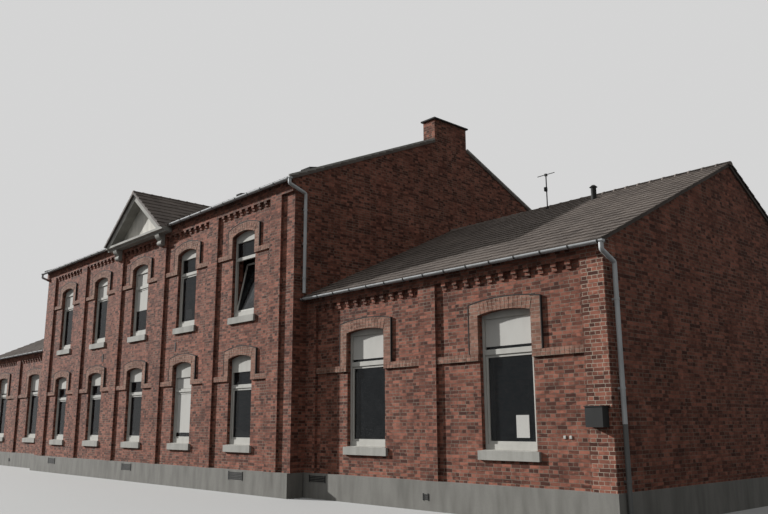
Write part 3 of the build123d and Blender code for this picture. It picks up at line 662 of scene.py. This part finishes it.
@dataclass
class Scatter:
    """Sets copies of one unit on their places through Geometry Nodes.

    Attributes:
        name: Name of the piece that it makes.
        unit: Mesh of one unit, about its own origin.
        copies: Place, turn and size of each copy.
        tilt: Largest random tilt in radians.
        seed: Seed of the random tilt.
    """

    name: str
    unit: bpy.types.Mesh
    copies: list[Copy]
    tilt: float
    seed: int

    def tree(self, material: Material, unit: bpy.types.Object) -> bpy.types.NodeTree:
        """Builds the node tree: instances on the places, realized, with the finish set.

        Args:
            material: The finish of every copy.
            unit: The object that holds one unit.

        Returns:
            The geometry node tree.
        """
        tree = bpy.data.node_groups.new(f"{self.name}_tree", "GeometryNodeTree")
        for label, way, kind in (("Places", "INPUT", "Geometry"), ("Tilt", "INPUT", "Float"),
                                 ("Seed", "INPUT", "Int"), ("Geometry", "OUTPUT", "Geometry")):
            tree.interface.new_socket(label, in_out=way, socket_type=f"NodeSocket{kind}")
        graph = Graph(tree)
        given = graph.node("NodeGroupInput").outputs
        turn, size = (graph.node("GeometryNodeInputNamedAttribute", {"Name": name},
                                 data_type="FLOAT_VECTOR").outputs["Attribute"] for name in ("turn", "size"))
        chance = graph.node("FunctionNodeRandomValue", {0: (-1, -1, -1), "Seed": given["Seed"]},
                            data_type="FLOAT_VECTOR")
        lean = graph.node("ShaderNodeVectorMath", {0: chance.outputs[0], "Scale": given["Tilt"]},
                          operation="SCALE")
        whole = graph.node("ShaderNodeVectorMath", {0: turn, 1: lean.outputs[0]})
        shape = graph.node("GeometryNodeObjectInfo", {"Object": unit})
        values = {"Points": given["Places"], "Instance": shape.outputs["Geometry"],
                  "Rotation": whole.outputs[0], "Scale": size}
        copies = graph.node("GeometryNodeInstanceOnPoints", values)
        real = graph.node("GeometryNodeRealizeInstances", {0: copies.outputs[0]})
        finish = graph.node("GeometryNodeSetMaterial", {0: real.outputs[0], "Material": material})
        graph.node("NodeGroupOutput", {0: finish.outputs[0]})
        return tree

    def build(self, finishes: Finishes, slot: str, smooth: bool = False) -> bpy.types.Object:
        """Makes the piece.

        Args:
            finishes: The materials.
            slot: The record's material slot that the piece belongs to.
            smooth: Whether the faces are shaded smooth.

        Returns:
            The finished piece, a plain mesh.
        """
        places, turns, sizes = zip(*self.copies)
        points = bpy.data.meshes.new(f"{self.name}_places")
        points.from_pydata(list(places), [], [])
        for label, rows in (("turn", turns), ("size", sizes)):
            attribute = points.attributes.new(label, "FLOAT_VECTOR", "POINT")
            attribute.data.foreach_set("vector", [value for row in rows for value in row])
        carrier = add_object(f"{self.name}_carrier", points)
        unit = add_object(f"{self.name}_unit", self.unit)
        modifier = carrier.modifiers.new("copies", "NODES")
        modifier.node_group = self.tree(finishes.of(self.name, slot), unit)
        inputs = {"Tilt": self.tilt, "Seed": self.seed}
        for item in modifier.node_group.interface.items_tree:
            if item.name in inputs:
                modifier[item.identifier] = inputs[item.name]
        bpy.context.view_layer.update()
        graph = bpy.context.evaluated_depsgraph_get()
        mesh = bpy.data.meshes.new_from_object(carrier.evaluated_get(graph))
        for thing in (carrier, unit):
            bpy.data.objects.remove(thing)
        mesh.name = self.name
        return finishes.piece(mesh, slot, smooth)


def turned(up: Vector, out: Vector) -> Point:
    """The Euler turn of a unit whose own Y runs along one direction and whose Z looks along the other."""
    return tuple(Matrix((up.cross(out), up, out)).transposed().to_euler())


@dataclass
class RoofTiling:
    """Flat clay tiles with a low rib on the slopes and half-round tiles on the ridges.

    Attributes:
        finishes: The materials.
        cover: Width and length that one tile covers.
        step: Height of the roof's own step at each nose.
        rib: Height of the rib that covers the joint between two tiles.
        thick: How far a tile's face lies over the roof.
        foot: How far a tile's nose stays off the roof.
        tilt: Largest random tilt of a tile in radians.
        block_end: X of the block's verges.
        wing_ends: X of the inner and outer end of a wing's tiles.
        ridge_long: Length that one ridge tile covers.
    """

    finishes: Finishes
    cover: Span = (0.235, 0.32)
    step: float = 0.022
    rib: float = 0.006
    thick: float = 0.008
    foot: float = 0.001
    tilt: float = 0.004
    block_end: float = 8.945
    wing_ends: Span = (8.917, 17.791)
    ridge_long: float = 0.34

    # Across a tile, as parts of its width and of its rib
    PROFILE = ((-0.5, 0.9), (-0.44, 1.0), (-0.38, 0.1), (0.0, 0.0), (0.38, 0.1), (0.43, 0.45), (0.5, 0.5))
    # Along a ridge tile: x and radius, with the raised collar first
    STATIONS = ((-0.172, 0.112), (-0.122, 0.112), (-0.117, 0.104), (0.172, 0.102))

    def tile(self) -> bpy.types.Mesh:
        """One flat tile with its rib and its nose, its foot at the origin."""
        wide, long = self.cover
        verts = [(u * wide, v * long, level * self.rib + height + self.thick)
                 for v, height in ((0.0, self.step), (1.0, 0.0)) for u, level in self.PROFILE]
        verts += [(u * wide, 0.0, self.foot) for u, _ in self.PROFILE]
        count = len(self.PROFILE)
        faces = [(i, i + 1, count + i + 1, count + i) for i in range(count - 1)]
        faces += [(2 * count + i, 2 * count + i + 1, i + 1, i) for i in range(count - 1)]
        faces += [(2 * count, 0, count), (2 * count + count - 1, 2 * count - 1, count - 1)]
        mesh = bpy.data.meshes.new("flat_tile")
        mesh.from_pydata(verts, [], faces)
        return mesh

    def pediment(self) -> None:
        """Tiles both slopes of the small roof over the pediment, up to the block's own roof."""
        half, base, top, front = PEDIMENT
        columns, margin, inset, flatter = 16, 0.12, 0.004, 0.8
        angle = math.atan2(top - base, half)
        length = math.hypot(top - base, half)
        rows = round(length / self.cover[1])
        copies: list[Copy] = []
        for side in (-1, 1):
            up = Vector((-side * math.cos(angle), 0.0, math.sin(angle)))
            out = Vector((side * math.sin(angle), 0.0, math.cos(angle)))
            for row in range(rows):
                for column in range(columns):
                    along = front + inset + (column + 0.5) * self.cover[0]
                    foot = Vector((side * half, along, base)) + up * (length * row / rows)
                    if foot.z + margin < BLOCK_STREET.height(foot.y):
                        continue
                    place = tuple(foot + out * self.foot - Vector((0.0, MIDDLE_Y, 0.0)))
                    copies.append((place, turned(up, out), (1.0, length / rows / self.cover[1], flatter)))
        Scatter("pediment_tiles", self.tile(), copies, self.tilt, 9).build(self.finishes, "roof_tiles")

    def slope(self, name: str, eaves: Eaves, x0: float, x1: float,
              keep: Callable[[Point], bool] | None = None) -> None:
        """Tiles one slope.

        Args:
            name: The piece's name.
            eaves: The side that the slope is on.
            x0: Its left end.
            x1: Its right end.
            keep: Says whether a tile at a point is laid; all are when left out.
        """
        rows = round(eaves.length / self.cover[1])
        columns = round((x1 - x0) / self.cover[0])
        pitch, gauge = eaves.length / rows, (x1 - x0) / columns
        turn = (eaves.angle, 0.0, 0.0 if eaves.side is Side.STREET else math.pi)
        size = (gauge / self.cover[0], pitch / self.cover[1], 1.0)
        places = [eaves.on_slope(x0 + (column + 0.5) * gauge, row * pitch)
                  for row in range(rows) for column in range(columns)]
        copies = [(place, turn, size) for place in places if not keep or keep(place)]
        Scatter(name, self.tile(), copies, self.tilt, 11).build(self.finishes, "roof_tiles")

    def ridge_unit(self) -> bpy.types.Mesh:
        """One half-round ridge tile along X with a raised collar at one end."""
        shaper = Shaper()
        rings = [shaper.half_ring(x, radius) for x, radius in self.STATIONS]
        for first, second in zip(rings, rings[1:]):
            shaper.join(first, second)
        for end in (rings[0], rings[-1]):
            shaper.mesh.faces.new(end)
        return shaper.done("ridge_tile")

    def ridges(self) -> None:
        """Lays the ridge tiles of the block, the wings and the pediment's roof."""
        copies: list[Copy] = []
        sunk = 0.055
        for x0, x1, eaves in ((-8.415, 8.415, BLOCK_STREET), (8.915, 17.79, WING_STREET),
                              (-17.79, -8.915, WING_STREET)):
            count = round((x1 - x0) / self.ridge_long)
            for i in range(count):
                x = x0 + (i + 0.5) * (x1 - x0) / count
                copies.append(((x, eaves.ridge_y - MIDDLE_Y, eaves.ridge_z - sunk), LEVEL, WHOLE))
        _, _, top, front = PEDIMENT
        first, count, sunk = front + 0.174 - MIDDLE_Y, 11, 0.075
        for i in range(count):
            copies.append(((0.0, first + i * self.ridge_long, top - sunk), (0.0, 0.0, math.pi / 2), WHOLE))
        piece = Scatter("ridge_capping", self.ridge_unit(), copies, 0.008, 5)
        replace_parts(piece.build(self.finishes, "roof_tiles", True), "ridge_tiles")

    def over_pediment(self, place: Point) -> bool:
        """Whether a tile of the street slope lies clear of the pediment's roof."""
        half, base, top, _ = PEDIMENT
        lap, verge = 0.06, 0.04
        reach = half * (top - place[2] - lap) / (top - base)
        return place[2] > top or abs(place[0]) > min(half + verge, reach)

    def beside_chimneys(self, place: Point) -> bool:
        """Whether a tile lies clear of both chimneys."""
        inner, deep = 8.33, 0.925
        away = abs(place[1] + MIDDLE_Y - BLOCK_STREET.ridge_y)
        return abs(place[0]) <= inner or away >= deep

    def build(self) -> None:
        """Tiles every slope and ridge."""
        self.slope("block_street_tiles", BLOCK_STREET, -self.block_end, self.block_end,
                   lambda place: self.over_pediment(place) and self.beside_chimneys(place))
        self.slope("block_yard_tiles", BLOCK_YARD, -self.block_end, self.block_end, self.beside_chimneys)
        for name, side in (("right", 1), ("left", -1)):
            ends = sorted(side * end for end in self.wing_ends)
            self.slope(f"{name}_wing_street_tiles", WING_STREET, *ends)
            self.slope(f"{name}_wing_yard_tiles", WING_YARD, *ends)
        self.pediment()
        self.ridges()


@dataclass
class Arches:
    """Upright bricks round the heads of the hoods and along their strings, and the hoods' dark edges.

    Attributes:
        finishes: The materials.
        brick: Thickness of one brick and its joint.
        joint: Width of a joint.
        deep: How far a brick runs into the hood and out of it, before it stands proud.
        proud: How far the bricks stand out of the hood.
        string: Height of the bricks in a string, and of their foot over the string's.
        fewest: The fewest bricks round a head.
        line: Width of the dark edge.
        clear: How far the dark edge stays off the hood.
        flats: Straight parts of a crown's dark edge.
    """

    finishes: Finishes
    brick: float = 0.11
    joint: float = 0.008
    deep: float = 0.02
    proud: float = 0.006
    string: Span = (0.134, 0.005)
    fewest: int = 9
    line: float = 0.022
    clear: float = 0.002
    flats: int = 10

    def unit(self) -> bpy.types.Mesh:
        """One brick, a metre along each axis, on its foot."""
        shaper = Shaper()
        shaper.block((-0.5, -0.5, 0.0), (0.5, 0.5, 1.0))
        return shaper.done("voussoir")

    def head(self, window: Window) -> Iterable[Copy]:
        """Yields the bricks over one opening."""
        row, half = window.row, window.row.wide / 2
        lift, spare = 0.004, 0.012
        radius = (half * half + row.rise * row.rise) / (2 * row.rise)
        centre = row.spring + row.rise - radius
        reach = math.asin(half / radius)
        count = max(self.fewest, int(2 * reach * radius / self.brick) | 1)
        size = (2 * reach * radius / count - self.joint, 2 * (self.deep + self.proud), row.hood - spare)
        y = window.eaves.at(HOOD_FACE + self.deep)
        for i in range(count):
            angle = -reach + 2 * reach * (i + 0.5) / count
            x, z = window.middle + radius * math.sin(angle), centre + radius * math.cos(angle) + lift
            yield (x, y, z), (0.0, angle, 0.0), size

    def strings(self, window: Window) -> Iterable[Copy]:
        """Yields the upright bricks in the string on both sides of an opening."""
        near, far = window.row.wide / 2, window.row.panel / 2
        count = round((far - near) / self.brick)
        pitch = (far - near) / count
        tall, lift = self.string
        y, z = window.eaves.at(HOOD_FACE + self.deep), window.row.spring - window.row.leg + lift
        for side in (-1, 1):
            for i in range(count):
                x = window.middle + side * (near + (i + 0.5) * pitch)
                yield (x, y, z), LEVEL, (pitch - self.joint, 2 * (self.deep + self.proud), tall)

    def edge(self, shaper: Shaper, window: Window) -> None:
        """Adds the thin dark edge along the crown and down the outer sides of one hood.

        Args:
            shaper: What collects the edges.
            window: The opening under the hood.
        """
        row, fuller, over_foot, over_top = window.row, 1.2, 0.144, 0.012
        half, rise = row.wide / 2 + row.hood, fuller * row.rise
        radius = (half * half + rise * rise) / (2 * rise)
        crown = row.spring + row.hood + rise
        y0, y1 = window.eaves.between(HOOD_FACE - self.proud, RELIEF)
        reach = math.asin(half / radius)
        for i in range(self.flats):
            angles = [-reach + 2 * reach * (i + k) / self.flats for k in (0, 1)]
            shaper.hull((window.middle + out * math.sin(angle), y, crown - radius + out * math.cos(angle))
                        for angle in angles for out in (radius + self.clear, radius + self.line)
                        for y in (y0, y1))
        foot, top = row.spring - row.leg + over_foot, row.spring + row.hood + over_top
        for side in (-1, 1):
            x0, x1 = window.beside(side, half + self.clear, half + self.line)
            shaper.block((x0, y0, foot), (x1, y1, top))

    def build(self) -> None:
        """Lays the bricks and the dark edges at every window."""
        shaper = Shaper()
        copies: list[Copy] = []
        for window in WINDOWS:
            copies += [*self.head(window), *self.strings(window)]
            self.edge(shaper, window)
        Scatter("hood_bricks", self.unit(), copies, 0.004, 3).build(self.finishes, "light_brick")
        self.finishes.piece(shaper.done("hood_edges"), "dark_stone")


@dataclass
class CorbelTeeth:
    """The stepped brick teeth under the eaves, lower and shorter than in the plain tables.

    Attributes:
        finishes: The materials.
        tall: Height of the plain teeth.
        drop: How far the friezes' lower edges come down.
        shares: How tall the teeth of the block and of the wings are beside the plain ones.
    """

    finishes: Finishes
    tall: float = 0.306
    drop: float = 0.05
    shares: tuple[tuple[str, float], ...] = (("block", 0.53), ("wing", 0.58))

    def build(self, nodes: dict[str, bpy.types.Object]) -> None:
        """Makes the teeth from merged copies of the plain tables.

        Args:
            nodes: The CAD nodes by name.
        """
        for name, share in self.shares:
            shape = bmesh.new()
            shape.from_mesh(nodes[f"{name}_corbel_tables"].data)
            bmesh.ops.remove_doubles(shape, verts=shape.verts, dist=0.0001)
            top = min(vert.co.z for vert in shape.verts) + self.tall
            for vert in shape.verts:
                if vert.co.z < top + self.drop:
                    vert.co.z = top - self.drop - (top - vert.co.z) * share
            mesh = bpy.data.meshes.new(f"{name}_corbel_teeth")
            shape.to_mesh(mesh)
            shape.free()
            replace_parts(self.finishes.piece(mesh, "brick"), f"{name}_corbel_tables")


@dataclass
class Sills:
    """Stone sills a little wider than their openings, and brick that fills the walls' beds beside them.

    Attributes:
        finishes: The materials.
        tall: Height of a sill.
        proud: How far its nose stands out of the recessed panel.
        fall: How much its top slopes outwards.
        ear: How far its nose runs past the opening at each end.
        bed: How far a bed runs past the opening at each end.
    """

    finishes: Finishes
    tall: float = 0.2
    proud: float = 0.065
    fall: float = 0.02
    ear: float = 0.08
    bed: float = 0.11

    def stone(self, shaper: Shaper, window: Window) -> None:
        """Adds the sill of one window.

        Args:
            shaper: What collects the sills.
            window: The window over it.
        """
        top, half = window.row.sill, window.row.wide / 2
        foot, lip = top - self.tall, top - self.fall
        back, nose, face = (window.eaves.at(behind)
                            for behind in (FRAME_BACK + FRAME_DEEP, RELIEF - self.proud, FRAME_BACK))
        outline = ((back, foot), (nose, foot), (nose, lip), (face, top), (back, top))
        shaper.hull((x, y, z) for x in span(window.middle, half) for y, z in outline)

    def ends(self, shaper: Shaper, window: Window, long: float, planes: Span, top: float) -> None:
        """Adds a block at both ends of one sill.

        Args:
            shaper: What collects the blocks.
            window: The window over the sill.
            long: How far they run past the opening.
            planes: How far behind the pilaster faces they begin and end.
            top: Height of their tops.
        """
        half, foot = window.row.wide / 2, window.row.sill - self.tall
        y0, y1 = window.eaves.between(*planes)
        for side in (-1, 1):
            x0, x1 = window.beside(side, half, half + long)
            shaper.block((x0, y0, foot), (x1, y1, top))

    def build(self) -> None:
        """Lays every sill in place of the plain ones."""
        bricks, block, wing = Shaper(), Shaper(), Shaper()
        lap = 0.001
        ears, beds = (RELIEF - self.proud, RELIEF + lap), (RELIEF, FRAME_BACK + FRAME_DEEP)
        for window in WINDOWS:
            stones, top = wing if window.row is WING else block, window.row.sill
            self.stone(stones, window)
            self.ends(stones, window, self.ear, ears, top - self.fall)
            self.ends(bricks, window, self.bed, beds, top)
        for name, stones in (("block", block), ("wing", wing)):
            made = self.finishes.piece(stones.done(f"{name}_stone_sills"), "stone")
            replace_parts(made, f"{name}_window_sills")
        self.finishes.piece(bricks.done("sill_end_bricks"), "brick")


@dataclass
class Blinds:
    """White panels, blinds and curtains in the street windows, and a blank sheet of paper.

    Attributes:
        finishes: The materials.
        gap: How far a panel stays clear of the glass.
        thin: Half a panel's thickness.
        frame: How much of an opening its frame takes at each side.
        sash: How much of the rest a sash takes at each side.
        curtain: Width of the curtains in the wings.
    """

    finishes: Finishes
    gap: float = 0.009
    thin: float = 0.002
    frame: float = 0.062
    sash: float = 0.06
    curtain: float = 0.17

    def sheet(self, shaper: Shaper, eaves: Eaves, across: Span, up: Span, inside: bool = False) -> None:
        """Adds one flat sheet by its edges in X and in height, before the glass or inside it."""
        y = eaves.at(GLASS_BACK + (self.gap if inside else -self.gap))
        shaper.block((across[0], y - self.thin, up[0]), (across[1], y + self.thin, up[1]))

    def build(self) -> None:
        """Hangs what the street windows have."""
        white, pale, paper = Shaper(), Shaper(), Shaper()
        half = WING.wide / 2 - self.frame
        for middle in WING.middles:
            left, right = span(middle, half)
            self.sheet(white, WING_STREET, (left, right), (3.30, WING.light[1]))
            self.sheet(pale, WING_STREET, (left, left + self.curtain), (1.46, 3.10), True)
        self.sheet(paper, WING_STREET, (15.46, 15.77), (1.50, 1.93))
        light = UPPER.wide / 2 - self.frame
        sash = light - self.sash
        for middle in BAYS[:3]:
            self.sheet(white, BLOCK_STREET, span(middle, light), (6.48, UPPER.light[1]))
        self.sheet(white, BLOCK_STREET, span(BAYS[2], sash), (5.62, 6.32))
        self.sheet(white, BLOCK_STREET, (BAYS[3] - 0.25, BAYS[3] + 0.12), (5.02, 5.30), True)
        self.sheet(white, BLOCK_STREET, span(BAYS[3], sash), (1.55, 2.70))
        self.sheet(white, BLOCK_STREET, span(BAYS[3], light), (2.87, GROUND.light[1]))
        self.sheet(pale, BLOCK_STREET, span(BAYS[2], sash), (1.50, 2.70), True)
        for name, sheets in (("window_blinds", white), ("window_curtains", pale), ("blank_sheet", paper)):
            self.finishes.piece(sheets.done(name), "white_paint")


@dataclass
class Fittings:
    """Gutter straps and the small things on the street walls and the roof.

    Attributes:
        finishes: The materials.
        strap_radii: Outer and inner radius of a strap.
        strap_half: Half a strap's width.
        strap_pitch: Distance between two straps.
        gutter: How far out of the roof's edge, and how far below it, a gutter's middle is.
        slat: Distance between two slats of a vent.
        plinth: How far the plinth stands out of the pilaster faces.
        chimney_deep: How far before the ridge the verge fillets stop for the chimneys.
    """

    finishes: Finishes
    strap_radii: Span = (0.056, 0.050)
    strap_half: float = 0.014
    strap_pitch: float = 0.62
    gutter: Span = (0.05, 0.03)
    slat: float = 0.04
    plinth: float = 0.04
    chimney_deep: float = 0.76

    # Side, left end and right end of each gutter
    GUTTERS = ((BLOCK_STREET, 2.50, 8.95), (BLOCK_STREET, -8.95, -2.50), (BLOCK_YARD, -8.95, 8.95),
               (WING_STREET, 9.0, 17.75), (WING_STREET, -17.75, -9.0), (WING_YARD, 9.0, 17.75),
               (WING_YARD, -17.75, -9.0))
    # Middle, half width, height and distance from the roof's edge of each small roof vent
    ROOF_VENTS = ((5.95, 0.12, 0.12, 0.36), (8.66, 0.2, 0.14, 0.82))

    def strap(self) -> bpy.types.Mesh:
        """One flat strap under a gutter, about the middle of the gutter's rim."""
        shaper = Shaper()
        rings = [shaper.half_ring(x, radius, math.pi)
                 for x in (-self.strap_half, self.strap_half) for radius in self.strap_radii]
        for first, second in ((0, 2), (1, 3), (0, 1), (2, 3)):
            shaper.join(rings[first], rings[second])
        for k in (0, -1):
            shaper.mesh.faces.new((rings[0][k], rings[1][k], rings[3][k], rings[2][k]))
        return shaper.done("strap")

    def straps(self) -> None:
        """Sets the straps along every gutter."""
        out, down = self.gutter
        copies: list[Copy] = []
        for eaves, x0, x1 in self.GUTTERS:
            count = round((x1 - x0) / self.strap_pitch)
            copies += [((x0 + (x1 - x0) * i / count, eaves.at(-eaves.out - out), eaves.edge_z - down),
                        LEVEL, WHOLE) for i in range(count + 1)]
        Scatter("gutter_straps", self.strap(), copies, 0.01, 2).build(self.finishes, "grey_metal")

    def vent(self, shaper: Shaper, eaves: Eaves, across: Span, up: Span) -> None:
        """Adds a slatted cellar vent on the plinth.

        Args:
            shaper: What collects the vents.
            eaves: The side that it is on.
            across: X of its two ends.
            up: Height of its foot and head.
        """
        face, (x0, x1), (low, high) = eaves.at(-self.plinth), sorted(across), up
        back, thin, post, rest = face + 0.002, 0.011, 0.02, 0.01
        slats = round((high - low) / self.slat)
        for i in range(slats):
            z = low + (i + 0.5) * (high - low) / slats
            shaper.block((x0, face - 0.012, z - thin), (x1, back, z + thin))
        for x in (x0 - post, x1):
            shaper.block((x, face - 0.014, low - rest), (x + post, back, high + rest))

    def vents(self) -> Shaper:
        """Collects the cellar vents and the small hooded vents near the block's street eaves."""
        shaper = Shaper()
        for across in ((6.3, 6.95), (-6.95, -6.3), (-0.32, 0.32)):
            self.vent(shaper, BLOCK_STREET, across, (0.35, 0.55))
        for side in (-1, 1):
            self.vent(shaper, WING_STREET, (side * 9.2, side * 9.8), (0.40, 0.55))
            self.vent(shaper, WING_STREET, (side * 13.14, side * 13.26), (0.22, 0.34))
        for middle, half, tall, foot in self.ROOF_VENTS:
            shaper.hull(BLOCK_STREET.on_slope(x, foot + up, lift) for x in span(middle, half)
                        for up, lift in ((0.0, 0.0), (0.0, tall), (0.3, tall - 0.06), (0.36, 0.0)))
        return shaper

    def verges(self) -> None:
        """Lays the pale mortar fillets along the block's gable verges, on both sides of the chimneys."""
        shaper = Shaper()
        for eaves in (BLOCK_STREET, BLOCK_YARD):
            up = (eaves.run - self.chimney_deep) / math.cos(eaves.angle)
            for across in ((8.895, 8.944), (-8.944, -8.895)):
                shaper.hull(eaves.on_slope(x, along, lift) for x in across for along in (0.02, up)
                            for lift in (-0.01, 0.075))
        self.finishes.piece(shaper.done("verge_fillets"), "stone")

    def build(self) -> None:
        """Makes the straps, the verge fillets, the vents, the tie plates and the wall caps."""
        self.straps()
        self.verges()
        dark, caps = self.vents(), Shaper()
        wall = BLOCK_STREET.at(RELIEF)
        for x in (-2.72, 2.72):
            dark.block((x - 0.03, wall - 0.014, 4.02), (x + 0.03, wall + 0.002, 4.30), 0.004)
        wall = WING_STREET.at(RELIEF)
        for x in (16.66, 16.79):
            caps.block((x - 0.028, wall - 0.02, 1.49), (x + 0.028, wall + 0.002, 1.55), 0.006)
        self.finishes.piece(dark.done("vents_and_ties"), "grey_metal")
        self.finishes.piece(caps.done("wall_caps"), "white_paint")


class Studio:
    """Camera, lamps, world and floor."""

    POSITION = (25.190, -18.153, 1.767)
    YAW, PITCH, ROLL = 0.828480, 0.210663, -0.004729
    FOCAL, PICTURE_WIDE = 782.246, 768  # in pixels
    SENSOR_WIDE = 36.0
    SKY_LIGHT, SKY_SEEN = 0.31, 0.66
    FLOOR_LIGHT = 0.07
    KEY, KEY_TOWARD, KEY_BROAD = 6.2, (1.0, 0.405, -0.425), 1.2
    FILL, FILL_TOWARD, FILL_BROAD = 0.5, (0.0, 0.55, -0.83), 60

    def camera(self) -> None:
        """Sets the camera as the photograph was taken."""
        forward = Vector((-math.sin(self.YAW) * math.cos(self.PITCH),
                          math.cos(self.YAW) * math.cos(self.PITCH), math.sin(self.PITCH)))
        level = Vector((math.cos(self.YAW), math.sin(self.YAW), 0.0))
        up = level.cross(forward)
        right = math.cos(self.ROLL) * level + math.sin(self.ROLL) * up
        up = -math.sin(self.ROLL) * level + math.cos(self.ROLL) * up
        turn = Matrix((right, up, -forward)).transposed().to_4x4()
        data = bpy.data.cameras.new("camera")
        data.sensor_width = self.SENSOR_WIDE
        data.lens = self.FOCAL / self.PICTURE_WIDE * self.SENSOR_WIDE
        data.clip_end = 500.0
        camera = add_object("camera", data)
        camera.matrix_world = Matrix.Translation(self.POSITION) @ turn
        bpy.context.scene.camera = camera

    def sun(self, name: str, strength: float, toward: Point, broad: float) -> bpy.types.Object:
        """Adds a lamp that shines towards a direction.

        Args:
            name: The lamp's name.
            strength: Its strength.
            toward: Where its light goes.
            broad: How broad it looks, in degrees.

        Returns:
            The lamp.
        """
        data = bpy.data.lights.new(name, "SUN")
        data.energy = strength
        data.angle = math.radians(broad)
        lamp = add_object(name, data)
        lamp.rotation_euler = Vector(toward).to_track_quat("-Z", "Y").to_euler()
        return lamp

    def direct(self, graph: Graph) -> Socket:
        """1 for what the camera sees, through glass and in mirrors too, and 0 for light on the object."""
        rays = graph.node("ShaderNodeLightPath").outputs
        through = graph.maths("MAXIMUM", rays["Is Glossy Ray"], rays["Is Transmission Ray"])
        return graph.maths("MAXIMUM", rays["Is Camera Ray"], through)

    def world(self) -> None:
        """A plain sky, pale where it is seen and darker as a light."""
        world = bpy.data.worlds.new("plain_world")
        bpy.context.scene.world = world
        world.use_nodes = True
        graph = Graph(world.node_tree)
        light, seen = (graph.node("ShaderNodeBackground", {0: colour, 1: strength}).outputs[0]
                       for colour, strength in (((0.95, 0.97, 1.0), self.SKY_LIGHT),
                                                ((self.SKY_SEEN,) * 3, 1.0)))
        mix = graph.node("ShaderNodeMixShader", {0: self.direct(graph), 1: light, 2: seen})
        graph.node("ShaderNodeOutputWorld", {0: mix.outputs[0]})

    def floor(self) -> None:
        """A plain floor that isn't part of the object, pale where it is seen and darker as a light."""
        shaper = Shaper()
        shaper.block((-150, -150, -0.4), (150, 150, -0.001))
        floor = add_object("floor", shaper.done("floor"))
        graph = Surface("plain_floor")
        colour = graph.blend(self.direct(graph), (self.FLOOR_LIGHT,) * 3, linear(176, 176, 174))
        floor.data.materials.append(graph.finish(colour, 0.9))

    def build(self) -> None:
        """Sets the whole studio."""
        self.camera()
        self.sun("key_lamp", self.KEY, self.KEY_TOWARD, self.KEY_BROAD)
        fill = self.sun("fill_lamp", self.FILL, self.FILL_TOWARD, self.FILL_BROAD)
        fill.visible_glossy = False
        self.world()
        self.floor()
        bpy.context.scene.view_settings.view_transform = "Standard"


def dress_frame(frame: dict, finishes: Finishes) -> None:
    """Gives every CAD node the finish of its slot.

    Args:
        finishes: The materials.
    """
    slots = {part["node"]: part["material_slot"] for part in frame["record"]["subparts"]}
    for name, node in frame["nodes"].items():
        finish = finishes.of(name, slots[name])
        if not node.material_slots:
            node.data.materials.append(finish)
        for slot in node.material_slots:
            slot.material = finish
        LOG.info("%s wears %s", name, finish.name)


def main() -> None:
    """Builds the scene."""
    logging.basicConfig(level=logging.INFO, format="%(name)s: %(message)s")
    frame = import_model()
    finishes = Finishes()
    dress_frame(frame, finishes)
    Studio().build()
    RoofTiling(finishes).build()
    Arches(finishes).build()
    Sills(finishes).build()
    CorbelTeeth(finishes).build(frame["nodes"])
    Blinds(finishes).build()
    Fittings(finishes).build()


if __name__ == "__main__":
    main()
